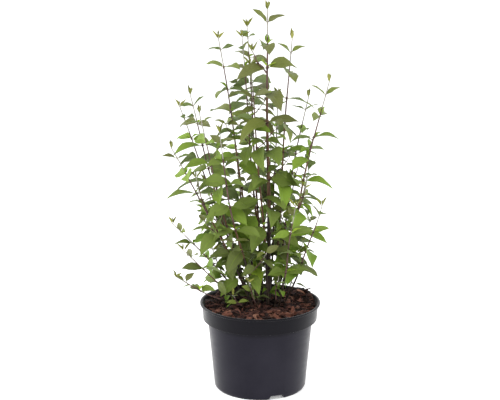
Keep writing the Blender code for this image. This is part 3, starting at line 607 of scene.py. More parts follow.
# %% Where the canes stand
# Canes: foot (x, y) on the mulch and tip (x, y, z) in millimetres, bow (positive leans out low down and
# then straightens), foot radius in millimetres, bearing in degrees of the pair of leaves nearest the tip,
# and the seed that this cane's twigs and leaves are drawn by
Cane = namedtuple("Cane", "name foot tip bow girth turn seed")
CANES = (
    Cane("main", (16, 9), (12, -20, 725), -0.3, 4.8, 12, 41),
    Cane("left_tall", (-9, 22), (-78, 30, 668), -0.3, 2.4, 50, 612),
    Cane("back_tall", (4, 37), (-25, 60, 687), -0.2, 2.6, 45, 311),
    Cane("inner_left", (7, 20), (-34, 22, 672), 0.1, 2.4, 60, 295),
    Cane("inner_front", (15, -4), (-19, -10, 624), -0.3, 2.4, 60, 460),
    Cane("right_tall", (29, 22), (58, 10, 668), -0.35, 2.6, 5, 46),
    Cane("right_far", (38, 8), (126, -12, 593), -0.25, 2.5, 165, 872),
    Cane("right_back", (34, 32), (91, 42, 557), -0.6, 2.4, 170, 48),
    Cane("back_middle", (20, 44), (33, 72, 556), 0.4, 2.2, 30, 765),
    Cane("right_low", (46, 2), (114, -45, 368), 0.25, 1.9, 115, 965),
    Cane("left_far", (-21, 20), (-130, 4, 567), 0.15, 2.3, 25, 722),
    Cane("left_front", (-17, -4), (-112, -32, 538), 0.2, 2.1, 10, 52),
    Cane("left_back", (-25, 36), (-152, 42, 538), -0.1, 2.2, 60, 169),
    Cane("left_outer", (-14, -18), (-163, -56, 478), -0.15, 2.3, 10, 947),
    Cane("low_left", (-32, 14), (-166, -16, 326), -0.2, 1.7, 115, 631),
    Cane("low_left_front", (-40, 0), (-142, -74, 290), 0.0, 1.5, 110, 438),
    Cane("lowest_left", (-40, -17), (-155, -98, 246), 0.2, 1.4, 40, 738),
    Cane("front", (0, -22), (-74, -64, 508), 0.6, 2.2, 130, 342),
    Cane("front_right", (36, -14), (63, -88, 377), 0.1, 1.8, 110, 944),
    Cane("back_left", (-12, 50), (-54, 114, 500), 0.1, 2.2, 15, 603),
    Cane("back", (12, 50), (22, 136, 474), 0.1, 2.2, 25, 231),
    Cane("back_right", (31, 42), (98, 112, 410), 0.1, 2.0, 60, 62),
    Cane("back_low", (-35, 41), (-108, 124, 376), 0.1, 1.9, 40, 415),
)
# Fork arms: cane that forks, share of its height at the fork, tip in millimetres, bearing of the top pair
Fork = namedtuple("Fork", "cane share tip turn")
FORKS = (
    Fork("main", 0.79, (-16, -26, 650), 100),
    Fork("left_outer", 0.56, (-118, -62, 424), 100),
    Fork("right_far", 0.42, (84, -36, 400), 50),
    Fork("right_back", 0.5, (72, 52, 420), 75),
)
# Young shoots straight from the mulch, told like the canes
SHOOTS = (
    Cane("shoot_1", (-4, -36), (-22, -62, 226), 0.2, 1.1, 40, 141),
    Cane("shoot_2", (26, -28), (34, -50, 232), 0.1, 1.2, 100, 142),
    Cane("shoot_3", (-48, 24), (-92, 34, 262), 0.1, 1.2, 80, 143),
    Cane("shoot_4", (49, 22), (84, 56, 272), 0.1, 1.2, 60, 144),
    Cane("shoot_5", (-30, -34), (-52, -52, 196), 0.1, 1.0, 10, 145),
    Cane("shoot_6", (4, 52), (-4, 98, 290), 0.1, 1.2, 20, 146),
)
print("canes:", len(CANES), "forks:", len(FORKS), "young shoots:", len(SHOOTS))

# %% [markdown]
# A cane's path is a curve through a few points, as coarse as the solid's, because leaves are placed by their
# distance along it. The smooth cane that will be seen follows the same formula with many more points.

# %% Paths, and how a cane tapers
TIP_RADIUS = 0.8 * MM
TAPER_POWER = 0.85  # under 1 keeps a cane stout for longer
ROOT_FLARE = 0.15  # share of the foot's radius
FLARE_HEIGHT = 9 * MM
UPRIGHT_FOOT = 4 * MM
SWAY = 2.2 * MM
SWAY_WAVES = 7.5  # in radians, over the length of a cane
SWAY_STARTS = (0, 6)  # in radians, from cane to cane
PATH_STEP = 85 * MM


def curve_path(start, tip, bow, phase, steps):
    """Points from start to tip. Their way out runs ahead of their height by the bow, with a little sway."""
    share = np.linspace(0, 1, steps + 1)[:, None]
    reach = share * (1 + bow * (1 - share))
    points = np.hstack([start[:2] + (tip[:2] - start[:2]) * reach, start[2] + (tip[2] - start[2]) * share])
    return points + SWAY * np.sin(np.pi * share) * np.sin(SWAY_WAVES * share + phase) * heading(phase)


def cane_path(cane, phase, steps=None):
    """A cane's path from the mulch. It leaves the ground upright, so that its foot is cut flat."""
    foot = np.array([cane.foot[0] * MM, cane.foot[1] * MM, MULCH_LEVEL + CLEARANCE])
    rise, tip = foot + UPRIGHT_FOOT * UP, np.array(cane.tip) * MM
    steps = steps or max(4, round(float(np.linalg.norm(tip - rise)) / PATH_STEP))
    return np.vstack([foot, curve_path(rise, tip, cane.bow, phase, steps)])


def runs_along(points):
    """Each point's distance from the first, along the path."""
    return np.concatenate([[0.0], np.cumsum(np.linalg.norm(np.diff(points, axis=0), axis=1))])


def along(points, distance):
    """The path's point at one distance along it, or its points at several."""
    runs = runs_along(points)
    return np.stack([np.interp(distance, runs, points[:, axis]) for axis in range(3)], axis=-1)


def stretch(points, start, end):
    """The path's points between two distances along it, with exact ends."""
    runs = runs_along(points)
    inner = points[(runs > start + MM) & (runs < end - MM)]
    return np.vstack([along(points, start), inner, along(points, end)])


def taper(points, foot_radius, tip_radius, origin, whole):
    """Radius at each point: a near-straight taper over the whole length, and a flare at the ground."""
    runs = origin + runs_along(points)
    share = np.clip(1 - runs / whole, 0, 1)
    flare = ROOT_FLARE * foot_radius * np.exp(-runs / FLARE_HEIGHT)
    return tip_radius + (foot_radius - tip_radius) * share**TAPER_POWER + flare


print("longest cane:", round(max(runs_along(cane_path(cane, 0.0))[-1] for cane in CANES), 3), "m")

# %% [markdown]
# ## How a leaf lies
#
# A leaf's midrib is an arc: it leaves the stem at its rise and turns down by its droop on the way to the tip.
# Across it, the blade is rolled about the midrib and folded along it. For telling whether a leaf has room, a
# flat kite of eight faces round that arc is enough, and it is quick to test.

# %% The line of a leaf and its kite
LEAF_WIDEST = 0.37  # of the way to its tip
LEAF_THICKNESS = 1.1 * MM
LEAF_FOLD = math.radians(16)
ROOT_SUNK = 0.5 * MM  # past the middle of the stem
Leaf = namedtuple("Leaf", "root bearing rise droop length width roll order")


def leaf_line(leaf, share):
    """Midrib points, sides and normals at shares of a leaf's length, for one leaf or for columns of many.

    The slope falls evenly from the rise by the droop. So the way out is the length over the droop times the
    difference of the sines of the slopes, and the way up is the same with cosines.
    """
    ahead = heading(leaf.bearing)
    slope = leaf.rise - leaf.droop * share
    out = leaf.length / leaf.droop * (np.sin(leaf.rise) - np.sin(slope))
    lift = leaf.length / leaf.droop * (np.cos(slope) - np.cos(leaf.rise))
    middle = leaf.root + out[..., None] * ahead + lift[..., None] * UP
    square = np.cos(slope)[..., None] * UP - np.sin(slope)[..., None] * ahead
    level, roll = np.cross(UP, ahead), np.asarray(leaf.roll)[..., None]
    return middle, np.cos(roll) * level + np.sin(roll) * square, np.cos(roll) * square - np.sin(roll) * level


def leaf_kite(leaf, near=0.0, extra=0.0):
    """Six corners of a leaf, for an octahedron's: near end, tip, two sides, and middle above and below."""
    (foot, tip, widest), side, normal = leaf_line(leaf, np.array([near, 1.0, LEAF_WIDEST]))
    foot = foot - ROOT_SUNK * heading(leaf.bearing)
    half = leaf.width * leaf.length / 2 + extra
    edge, fold = side[2] * half * math.cos(LEAF_FOLD), normal[2] * half * math.sin(LEAF_FOLD)
    thick = normal[2] * (LEAF_THICKNESS / 2 + extra)
    return np.array([foot, tip, widest + edge + fold, widest - edge + fold, widest + thick, widest - thick])


KITE_FACES = ((0, 4, 2), (0, 3, 4), (1, 2, 4), (1, 4, 3), (0, 2, 5), (0, 5, 3), (1, 5, 2), (1, 3, 5))
print("kite faces:", len(KITE_FACES))

# %% [markdown]
# ## Room for every leaf
#
# Leaves in a real crown share the light, and few of them touch. Each new leaf is tried where the rule wants
# it, then turned, lifted or lowered until it clears all that is there, and left out if nothing helps. Each
# shape has a search tree of its faces for this, and a test of boxes first leaves only a few trees to ask.

# %% The room kept between pieces
STEM_ROOM = 0.8 * MM


def stem_loft(stem, sides=4):
    """Corners and faces of a plain tube round a stem, a little fatter than it."""
    ring = heading(evenly_round(sides))
    fatter = (stem.radii + STEM_ROOM) / math.cos(math.pi / sides)
    points = np.vstack([p + ring * r for p, r in zip(stem.points, fatter)])
    rows, columns = strips(len(stem.points), sides)
    return points, (rows * sides + columns % sides).tolist()


class Room:
    """What has been placed so far, and on which cane. A twig or leaf stays only where it clears all of it."""

    def __init__(self):
        self.trees = []
        self.lows = []
        self.highs = []
        self.owners = []

    def add(self, owner, points, faces):
        """Keeps a placed shape, with its box and the name of its cane."""
        self.trees.append(BVHTree.FromPolygons([Vector(p) for p in points], faces))
        self.lows.append(points.min(axis=0))
        self.highs.append(points.max(axis=0))
        self.owners.append(owner)

    def clears(self, points, faces, others_than=None):
        """Whether a shape touches nothing, or nothing of other canes than the one named."""
        low, high = points.min(axis=0), points.max(axis=0)
        near = np.all((np.array(self.lows) < high) & (np.array(self.highs) > low), axis=1)
        near = [i for i in np.flatnonzero(near) if self.owners[i] != others_than]
        tree = BVHTree.FromPolygons([Vector(p) for p in points], faces)
        return not any(self.trees[i].overlap(tree) for i in near)


trial, kite = Room(), leaf_kite(Leaf(np.zeros(3), 0.0, 0.5, 0.5, 60 * MM, 0.5, 0.0, 0))
trial.add("one", kite, KITE_FACES)
print("room for a second leaf in the same place:", trial.clears(kite, KITE_FACES))

# %% A place for every leaf
LEAF_ROOM = 0.5 * MM
BLADE_START = 0.22  # of a leaf's length: nearer to its stem it may touch its own cane
HIT_RISES = (0.0, -0.3, 0.3)  # radians by which a leaf that hits something is lifted or lowered
HIT_TURNS = (0.0, 0.25, -0.25, 0.5, -0.5, 0.8, -0.8)  # radians by which it is turned
MULCH_ROOM = 5 * MM
RIM_ROOM = 4 * MM
MULCH_REACH = 84 * MM
LEAF_LOWEST = 100 * MM


def in_reach(points):
    """Whether a shape stays above the mulch and the pot's rim, and beside the pot well above the floor."""
    radius = np.hypot(points[:, 0], points[:, 1])
    floor = np.where(radius < RIM_RADIUS + RIM_ROOM, POT_HEIGHT + MM, LEAF_LOWEST)
    floor = np.where(radius < MULCH_REACH, MULCH_LEVEL + MULCH_ROOM, floor)
    return bool(np.all(points[:, 2] > floor))


def settle(leaf, owner, room):
    """The leaf turned, and lifted or lowered, as little as clears the room, or None where nothing does."""
    for rise in HIT_RISES:
        for turn in HIT_TURNS:
            tried = leaf._replace(bearing=leaf.bearing + turn, rise=leaf.rise + rise)
            whole = leaf_kite(tried, extra=LEAF_ROOM)
            blade = leaf_kite(tried, near=BLADE_START, extra=LEAF_ROOM)
            if in_reach(blade) and room.clears(whole, KITE_FACES, owner) and room.clears(blade, KITE_FACES):
                room.add(owner, whole, KITE_FACES)
                return tried
    return None


print("turns and rises tried for a leaf:", len(HIT_RISES) * len(HIT_TURNS))

# %% [markdown]
# ## Leaves in opposite pairs
#
# Hydrangea leaves stand in pairs, and each pair is turned a quarter against the next. Near the tip the pairs
# are close together, short and raised; further down they are far apart, long and hanging. One fading share
# per pair moves every size and angle from its value at the top to its value low down.

# %% Leaf pairs
GAP = (25 * MM, 50 * MM)  # at the top and low down, like the three below
LENGTH = (31 * MM, 66 * MM)
RISE = (math.radians(38), math.radians(-2))
DROOP = (math.radians(36), math.radians(58))
SIZE_FADE = 0.5  # a pair's share is this to the power of its order, counted from the tip
ANGLE_FADE = 0.65
LEAF_WIDTH = 0.52  # of its length
SIZE_SPREAD = 0.14
ANGLE_SPREAD = math.radians(16)
BEARING_SPREAD = 0.3
ROLL_SPREAD = 0.45
CROWN_MIDDLE = (0.0, 15 * MM)
ROLL_MOST = 0.9  # upper faces turn outward by this much at the side of the crown
ROLL_REACH = 25 * MM


def spread(rng, most):
    """A value drawn between minus and plus the most. Where that is nothing, nothing is drawn."""
    return rng.uniform(-most, most) if most else 0.0


def faded(ends, share):
    """A value on its way from the one at the top, where the share is one, to the one low down."""
    return ends[1] + (ends[0] - ends[1]) * share


def outward_roll(root, bearing):
    """Roll that turns a leaf's upper face away from the middle of the crown, as leaves turn to the light."""
    out = root[:2] - np.array(CROWN_MIDDLE)
    across = (out[1] * math.cos(bearing) - out[0] * math.sin(bearing)) / (ROLL_REACH + math.hypot(*out))
    return -ROLL_MOST * across


def leaf_pair(root, bearing, order, vigour, rng):
    """Two opposite leaves. Order counts the pairs down from the tip."""
    young, lifted = SIZE_FADE**order, ANGLE_FADE**order
    for side in (0.0, math.pi):
        length = faded(LENGTH, young) * vigour * (1 + spread(rng, SIZE_SPREAD))
        rise = faded(RISE, lifted) + spread(rng, ANGLE_SPREAD)
        droop = faded(DROOP, lifted) + spread(rng, ANGLE_SPREAD)
        way = bearing + side + spread(rng, BEARING_SPREAD)
        roll = outward_roll(root, way) + spread(rng, ROLL_SPREAD)
        yield Leaf(root, way, rise, droop, length, LEAF_WIDTH * (1 + spread(rng, SIZE_SPREAD)), roll, order)


pair = list(leaf_pair(np.zeros(3), 0.0, 0, 1.0, np.random.default_rng(0)))
print("a top pair:", [round(leaf.length / MM) for leaf in pair], "mm long")

# %% The folded leaves of a tip
TUFT_OPENING = (0.15, 0.75)
TUFT_RISE, TUFT_SPREAD = 1.25, 0.1
TUFT_CURL = -0.25
TUFT_LENGTH = 22 * MM
TUFT_WIDTH = 0.42
TIP_ORDER, AXIL_ORDER = -1, 9  # the orders that mark the folded leaves of a tip, and the leaves in axils


def tip_tuft(root, bearing, vigour, rng):
    """The youngest pair of leaves at a growing tip, which stands up and has only begun to open."""
    opening = rng.uniform(*TUFT_OPENING)
    for side in (math.pi / 2, 1.5 * math.pi):
        rise = TUFT_RISE - opening + spread(rng, TUFT_SPREAD)
        length = TUFT_LENGTH * vigour * (1 + spread(rng, SIZE_SPREAD))
        yield Leaf(root, bearing + side, rise, TUFT_CURL, length, TUFT_WIDTH, 0.0, TIP_ORDER)


pair = list(tip_tuft(np.zeros(3), 0.0, 1.0, np.random.default_rng(0)))
print("a folded pair:", [round(leaf.length / MM) for leaf in pair], "mm long")

# %% [markdown]
# A stem is dressed from its tip down: first the folded young leaves, then pair after pair until the bare foot
# is near. Some of the lower pairs carry a short twig in an axil, with small pairs of its own.

# %% Twigs
TUFT_SUNK = 2.5 * MM  # below the stem's tip
TWIG_RADII = (0.8 * MM, 0.56 * MM)  # at its foot and its tip
TWIG_LENGTH = (34 * MM, 74 * MM)
TWIG_OUT, TWIG_UP = 0.7, 0.75  # of its length
TWIG_BOW = 0.35
TWIG_GAP, TWIG_BARE = 20 * MM, 0.6  # and the bare share of a gap at its foot
TWIG_ORDER = 0.4  # its leaves begin a little further on than those of a tip
TWIG_VIGOUR = 0.72
Stem = namedtuple("Stem", "points radii fine joints")  # fine is the smooth path, with its radii


def side_twig(root, bearing, vigour, rng):
    """A short twig from an axil, with small pairs of leaves and one at its end."""
    length = rng.uniform(*TWIG_LENGTH) * vigour
    tip = root + length * (TWIG_OUT * heading(bearing) + TWIG_UP * UP)
    phase, leaves, joints = rng.uniform(*SWAY_STARTS), [], []
    points, smooth = (curve_path(root, tip, TWIG_BOW, phase, steps) for steps in (2, 12))
    top = runs_along(points)[-1] - TUFT_SUNK
    for order, place in enumerate(np.arange(top, TWIG_BARE * TWIG_GAP, -TWIG_GAP)):
        turn = bearing + (order + 1) * math.pi / 2
        leaves += leaf_pair(along(points, place), turn, TWIG_ORDER + order, TWIG_VIGOUR * vigour, rng)
        joints.append((place, turn))
    radii, fine_radii = (np.linspace(*TWIG_RADII, len(path)) for path in (points, smooth))
    return Stem(points, radii, (smooth, fine_radii), joints), leaves


stem, leaves = side_twig(np.zeros(3), 0.0, 1.0, np.random.default_rng(0))
print("a twig:", round(runs_along(stem.points)[-1] / MM), "mm long, with", len(leaves), "leaves")

# %% How a stem is dressed
GAP_SPREAD = 0.12
FIRST_LEAF = 20 * MM  # above the foot of a spray
LOW_ZONE, LOW_SHRINK = 60 * MM, 0.82  # the pairs in this zone above a spray's foot are smaller
TWIG_CHANCE = 0.4
TWIG_FIRST_PAIR = 3


def dress_stem(owner, points, bare, turn, vigour, room, rng, twigs=True):
    """Leaves and twigs on one stem, from its tip down to its bare length, and where its joints are."""
    place = runs_along(points)[-1]
    stems, wanted = [], list(tip_tuft(along(points, place - TUFT_SUNK), turn, vigour, rng))
    order, joints = 0, []
    while True:
        place -= faded(GAP, SIZE_FADE**order) * (1 + vigour) / 2 * (1 + spread(rng, GAP_SPREAD))
        if place < bare + FIRST_LEAF:
            break
        root = along(points, place)
        bearing = turn + order * math.pi / 2
        size = LOW_SHRINK if place < bare + LOW_ZONE else 1.0
        wanted += leaf_pair(root, bearing, order, vigour * size, rng)
        joints.append((place, bearing))
        if twigs and order >= TWIG_FIRST_PAIR and rng.random() < TWIG_CHANCE:
            stem, leaves = side_twig(root, bearing + rng.choice([0.0, math.pi]), vigour, rng)
            end = stem._replace(points=stem.points[1:], radii=stem.radii[1:])
            if room.clears(*stem_loft(end)) and room.clears(*stem_loft(stem), owner):
                room.add(owner, *stem_loft(stem))
                stems.append(stem)
                wanted += leaves
        order += 1
    return stems, wanted, joints


print("gaps between pairs, at the top and low down:", [round(gap / MM) for gap in GAP], "mm")

# %% [markdown]
# ## Stems first, then leaves
#
# All the canes and fork arms are laid before anything grows on them, then come the twigs, and then the leaves
# of one cane after another, as in the solids. The order matters, because what comes first keeps its place.
# Each cane draws its own random numbers, from its own seed.

# %% Lay the canes and their arms
BARE_LENGTH = 40 * MM  # of each cane, from the mulch to where its spray begins
BARE_SHARES = (0.8, 1.35)  # of the bare length, from cane to cane
FINE_STEPS = 60
ARM_SLENDER = 0.85  # an arm's radius at its fork, as a share of its cane's
ARM_BOW = 0.3
ARM_STEPS = 3


def lay_cane(cane, is_shoot, rng):
    """The cane's path, how far up its spray begins, its bare foot, the spray's stem, and its fork arms."""
    phase = rng.uniform(*SWAY_STARTS)
    points, smooth = cane_path(cane, phase), cane_path(cane, phase, FINE_STEPS)
    whole, girth = runs_along(points)[-1], cane.girth * MM
    smooth = smooth, taper(smooth, girth, TIP_RADIUS, 0.0, runs_along(smooth)[-1])
    split = 0.0 if is_shoot else BARE_LENGTH * rng.uniform(*BARE_SHARES)
    gap = 0.0 if is_shoot else CLEARANCE / 2
    low, high = stretch(points, 0.0, max(split - gap, MM)), stretch(points, split + gap, whole)
    foot = None if is_shoot else Stem(low, taper(low, girth, TIP_RADIUS, 0.0, whole), None, [])
    stem, arms = Stem(high, taper(high, girth, TIP_RADIUS, split, whole), smooth, []), []
    for fork in (fork for fork in FORKS if fork.cane == cane.name):
        base, tip = along(points, fork.share * whole), np.array(fork.tip) * MM
        phase = rng.uniform(*SWAY_STARTS)
        arm, smooth = (curve_path(base, tip, ARM_BOW, phase, steps) for steps in (ARM_STEPS, FINE_STEPS))
        size = np.interp(fork.share * whole - split, np.linspace(0, whole - split, len(high)), stem.radii)
        past_flare = 2 * FLARE_HEIGHT
        slender = (ARM_SLENDER * size, TIP_RADIUS, past_flare, runs_along(arm)[-1] + past_flare)
        arms.append((fork, Stem(arm, taper(arm, *slender), (smooth, taper(smooth, *slender)), [])))
    return points, split, foot, stem, arms


room, laid = Room(), []
for cane in CANES + SHOOTS:
    rng = np.random.default_rng(cane.seed)
    points, split, foot, stem, arms = lay_cane(cane, cane in SHOOTS, rng)
    for placed in [stem] + [arm for _, arm in arms] + ([foot] if foot else []):
        room.add(cane.name, *stem_loft(placed))
    laid.append((cane, rng, points, split, stem, arms))
print("stems laid:", len(room.trees))

# %% Grow every spray
VIGOUR_LEAST, VIGOUR_PER_MM, VIGOUR_MOST = 0.76, 0.1, 1.14  # a stout cane has larger leaves and gaps
ARM_VIGOUR = 0.9
Spray = namedtuple("Spray", "name vigour stem arms twigs leaves")

wanted_of, sprays = {}, []
for cane, rng, points, split, stem, arms in laid:
    vigour = min(VIGOUR_MOST, VIGOUR_LEAST + VIGOUR_PER_MM * cane.girth)
    turn = math.radians(cane.turn)
    twigs, wanted, joints = dress_stem(cane.name, points, split, turn, vigour, room, rng, cane not in SHOOTS)
    sprays.append(Spray(cane.name, vigour, stem._replace(joints=joints), [], twigs, []))
    for fork, arm in arms:
        turn = math.radians(fork.turn)
        _, more, joints = dress_stem(cane.name, arm.points, 0.0, turn, ARM_VIGOUR * vigour, room, rng, False)
        wanted += more
        sprays[-1].arms.append(arm._replace(joints=joints))
    wanted_of[cane.name] = wanted
for spray in sprays:
    settled = [settle(leaf, spray.name, room) for leaf in wanted_of[spray.name]]
    spray.leaves.extend(leaf for leaf in settled if leaf)

shoot_names = [shoot.name for shoot in SHOOTS]
outside = []
for spray in sprays:
    kites = np.vstack([leaf_kite(leaf) for leaf in spray.leaves])
    low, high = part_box(spray.name if spray.name in shoot_names else "spray_" + spray.name)
    outside.append(max((np.array(low) - kites.min(axis=0)).max(), (kites.max(axis=0) - np.array(high)).max()))
print("leaves:", sum(len(spray.leaves) for spray in sprays))
print("furthest outside its solid:", round(max(outside) / MM, 2), "mm")

# %% [markdown]
# ## What the plain solids leave out
#
# Between the two folded leaves of a growing tip stand two smaller ones, crosswise. In the axils of older
# pairs small side shoots begin with a pair of short bright leaves, and near the ground a few small leaves sit
# on the old wood. They follow the same rule of room, and fill the crown from within without reaching past it.

# %% Finer leaves
# Kind of leaf: turned, lifted and rolled are the spreads of its bearing, rise and roll
Kind = namedtuple("Kind", "lengths turned rise lifted droop width rolled order")
INNER = Kind((10.4 * MM, 15.6 * MM), 0.0, 1.25, 0.12, -0.2, 0.36, 0.0, TIP_ORDER)
AXIL = Kind((12 * MM, 26 * MM), 0.5, 0.75, 0.35, 0.5, 0.46, 0.4, AXIL_ORDER)
GROUND = Kind((15 * MM, 34 * MM), 0.3, 0.35, 0.4, 0.8, 0.5, 0.4, 4)
AXIL_CHANCE = (0.55, 0.9)  # on a tall cane, and on one that ends below LOW_TIP
LOW_TIP = 0.42
AXIL_ABOVE = 2 * MM  # the joint
LOW_PAIRS = 4  # tried on each cane near its foot
LOW_RUN = (16 * MM, 130 * MM)  # above the mulch, along the cane


def small_leaf(root, way, kind, vigour, rng):
    """A leaf drawn by the values of its kind."""
    length = rng.uniform(*kind.lengths) * vigour
    way, rise = way + spread(rng, kind.turned), kind.rise + spread(rng, kind.lifted)
    return Leaf(root, way, rise, kind.droop, length, kind.width, spread(rng, kind.rolled), kind.order)


finer = {}
for number, spray in enumerate(sprays):
    rng, tried = np.random.default_rng(500 + number), []
    for stem in [spray.stem, *spray.arms]:
        path, tip, turn = stem.fine[0], stem.points[-1], (stem.joints or [(0, 0)])[0][1]
        tried += [small_leaf(tip, turn + side, INNER, spray.vigour, rng) for side in (0.0, math.pi)]
        for place, bearing in stem.joints[1:]:
            for side in (0.0, math.pi):
                if rng.random() < AXIL_CHANCE[int(tip[2] < LOW_TIP)]:
                    root = along(path, place + AXIL_ABOVE)
                    tried.append(small_leaf(root, bearing + side, AXIL, spray.vigour, rng))
    for place in rng.uniform(*LOW_RUN, LOW_PAIRS * (spray.name not in shoot_names)):
        root, way = along(spray.stem.fine[0], place), rng.uniform(0, math.pi)
        tried += [small_leaf(root, way + side, GROUND, spray.vigour, rng) for side in (0.0, math.pi)]
    finer[spray.name] = [leaf for leaf in (settle(leaf, spray.name, room) for leaf in tried) if leaf]
print("finer leaves:", sum(len(leaves) for leaves in finer.values()))

# %% [markdown]
# ## Bark and joints of the canes
#
# A cane of panicle hydrangea is almost smooth: fine lengthwise ridges, tiny corky bumps, and at every pair of
# leaves a swollen joint. The rings are set close together at the joints and wide apart between them, which
# spends the faces where the shape changes.


# %% Rings round paths
def cross_axes(paths):
    """Two unit axes square to each path at each of its points. Both come from one fixed line per path, the
    world axis that the path follows least, so that a ring doesn't twist along it."""
    ahead = unit(np.gradient(paths, axis=-2))
    least = np.abs(ahead).sum(axis=-2).argmin(axis=-1)
    first = unit(np.cross(np.eye(3)[least][..., None, :], ahead))
    return first, np.cross(ahead, first)


def round_rings(paths, radii, around):
    """Rings of points about paths[body, ring], where radii is [body, ring] or [body, ring, point]."""
    first, second = cross_axes(paths)
    turn = evenly_round(around)[:, None]
    ring = np.cos(turn) * first[..., None, :] + np.sin(turn) * second[..., None, :]
    radii = radii[..., None] if radii.ndim == 2 else radii
    return paths[..., None, :] + ring * radii[..., None]


pipe = round_rings(np.array([[[0, 0, 0.0], [0, 0, 1.0]]]), np.ones((1, 2)), 6)
print("bodies, rings, points and values of a plain pipe:", pipe.shape)

# %% Joints and relief
CANE_SIDES = 10
JOINT_OFFSETS = np.array([-3.4, -1.8, -0.8, 0.0, 0.8, 1.8, 3.4]) * MM
JOINT_WIDTH = 1.7 * MM
JOINT_SWELL = (0.3, 0.35 * MM)  # share of the radius, and a little more
END_ROOM = 0.5 * MM  # no ring of a joint is nearer to an end than this
EVEN_RINGS = 12  # at least, besides those of the joints
RIDGES, RIDGE_DEPTH, RIDGE_DRIFT = 5, 0.03, 90.0  # how many, share of the radius, radians per metre
BUMPS = 0.022  # share of the radius


def limb_shape(stems, stations):
    """Paths, radii with joints, and each ring's distance to the tip and to the nearest joint."""
    rows = []
    for stem in stems:
        path, size = stem.fine
        runs = runs_along(path)
        whole = runs[-1]
        joints = np.array([min(place, whole) for place, _ in stem.joints] or [whole])
        close = (joints[:, None] + JOINT_OFFSETS).ravel()
        close = close[(close > END_ROOM) & (close < whole - END_ROOM)][: stations - EVEN_RINGS]
        places = np.sort(np.concatenate([close, np.linspace(0, whole, stations - len(close))]))
        near = np.abs(places[:, None] - joints).min(axis=1)
        thick = np.interp(places, runs, size)
        thick = thick + (JOINT_SWELL[0] * thick + JOINT_SWELL[1]) * np.exp(-((near / JOINT_WIDTH) ** 2))
        rows.append((along(path, places), thick, whole - places, near))
    return [np.array(column) for column in zip(*rows)]


def bark_relief(radii, to_tip, rng):
    """Radii for every point of every ring: soft ridges that wander round the cane, and small bumps."""
    ridges = RIDGE_DEPTH * np.sin(RIDGES * evenly_round(CANE_SIDES) + RIDGE_DRIFT * to_tip[..., None])
    bumps = rng.normal(0.0, BUMPS, (*radii.shape, CANE_SIDES))
    return radii[..., None] * (1 + ridges + bumps)


print("rings closer together at", len(JOINT_OFFSETS), "places per joint")

# %% [markdown]
# Old wood near the ground is dark brown, and the stretch of a stem just above the bark is darker still, soil
# splash and painted shade. Then it turns red-brown, mauve, and pale green at the growing tip, and a joint
# wears a darker ring. So each stretch between two rings takes one of five finishes, all from the same recipe
# of lengthwise streaks.

# %% Cane finishes
CANE_FINISHES = (  # name, darker and lighter tone
    ("cane_old", (0.013, 0.008, 0.005), (0.044, 0.028, 0.018)),
    ("cane_brown", (0.056, 0.027, 0.012), (0.158, 0.082, 0.042)),
    ("cane_mauve", (0.066, 0.032, 0.028), (0.138, 0.078, 0.068)),
    ("cane_tip", (0.200, 0.185, 0.150), (0.335, 0.320, 0.280)),
    ("cane_joint", (0.020, 0.008, 0.006), (0.045, 0.020, 0.015)),
)
TIP_ZONE = (0.05, 0.16)  # at most, and as a share of the whole stem
AGE_ENDS = np.array([0.47, 0.17])  # metres from the tip: from old to brown, and from brown to mauve
COMMON_GIRTH = 2.6 * MM
GIRTH_PULL = (0.8, 1.2)  # how much sooner than a common cane a thin and a stout one age
JOINT_RING = 1.5 * MM
SPLASH_AND_PAINTED_SHADE = (110 * MM, 0.32)  # of a stem above the bark is dark, soil splash and painted shade: at most, and as a share of its length


def bark_finish(name, dark, light):
    """Cane bark: lengthwise streaks between two tones, and a fine lengthwise grain."""
    streaks = dict(scale=300.0, detail=4.0, stretch=(1.0, 1.0, 0.09))
    return two_tone_finish(name, dark, light, streaks, (0.45, 0.65), (0.3 * MM, 0.5), 0.25)


bark_finishes = [bark_finish(*finish) for finish in CANE_FINISHES]
TIP_FINISH, JOINT_FINISH = 3, 4  # their numbers in the table


def limb_slots(paths, radii, to_tip, to_joint):
    """Finish number of each stretch between rings. Bark ages from the tip down, sooner on a stout cane, so the
    distance to the tip is scaled by how stout the foot is. What stands in the bark chips is dark near its
    foot, soil splash and painted shade, and every joint but those at the tip has its ring."""
    far = (to_tip[:, 1:] + to_tip[:, :-1]) / 2
    age = far * np.clip(radii[:, :1] / COMMON_GIRTH, *GIRTH_PULL)
    tip_zone, splash_and_shade = (np.minimum(most, share * to_tip[:, :1]) for most, share in (TIP_ZONE, SPLASH_AND_PAINTED_SHADE))
    zones = np.where(far < tip_zone, TIP_FINISH, (age[..., None] < AGE_ENDS).sum(axis=-1))
    rooted = paths[:, :1, 2] < MULCH_LEVEL + MM
    # The foot of a rooted stem takes the darkest finish: soil splash and painted shade.
    zones = np.where(rooted & (to_tip[:, :1] - far < splash_and_shade), 0, zones)
    near = (to_joint[:, 1:] + to_joint[:, :-1]) / 2 < JOINT_RING
    return np.where(near & (zones < TIP_FINISH), JOINT_FINISH, zones)[..., None]


print("bark finishes:", len(bark_finishes))

# %% Canes, arms, shoots and twigs
def skin_slots(numbers, bodies, stations, around):
    """Material numbers of skinned bodies from numbers[body, stretch, strip]. The fans take their ring's."""
    numbers = np.broadcast_to(numbers, (bodies, stations - 1, around))
    return np.concatenate([numbers.ravel(), np.stack([numbers[:, 0], numbers[:, -1]], axis=1).ravel()])


def make_limbs(name, stems, stations, seed):
    """One mesh of many tapering stems."""
    rng = np.random.default_rng(seed)
    paths, radii, to_tip, to_joint = limb_shape(stems, stations)
    rings = round_rings(paths, bark_relief(radii, to_tip, rng), CANE_SIDES)
    slots = skin_slots(limb_slots(paths, radii, to_tip, to_joint), len(stems), stations, CANE_SIDES)
    return make_piece(name, skin(rings, paths[:, 0], paths[:, -1]), bark_finishes, slots, crease=70.0)


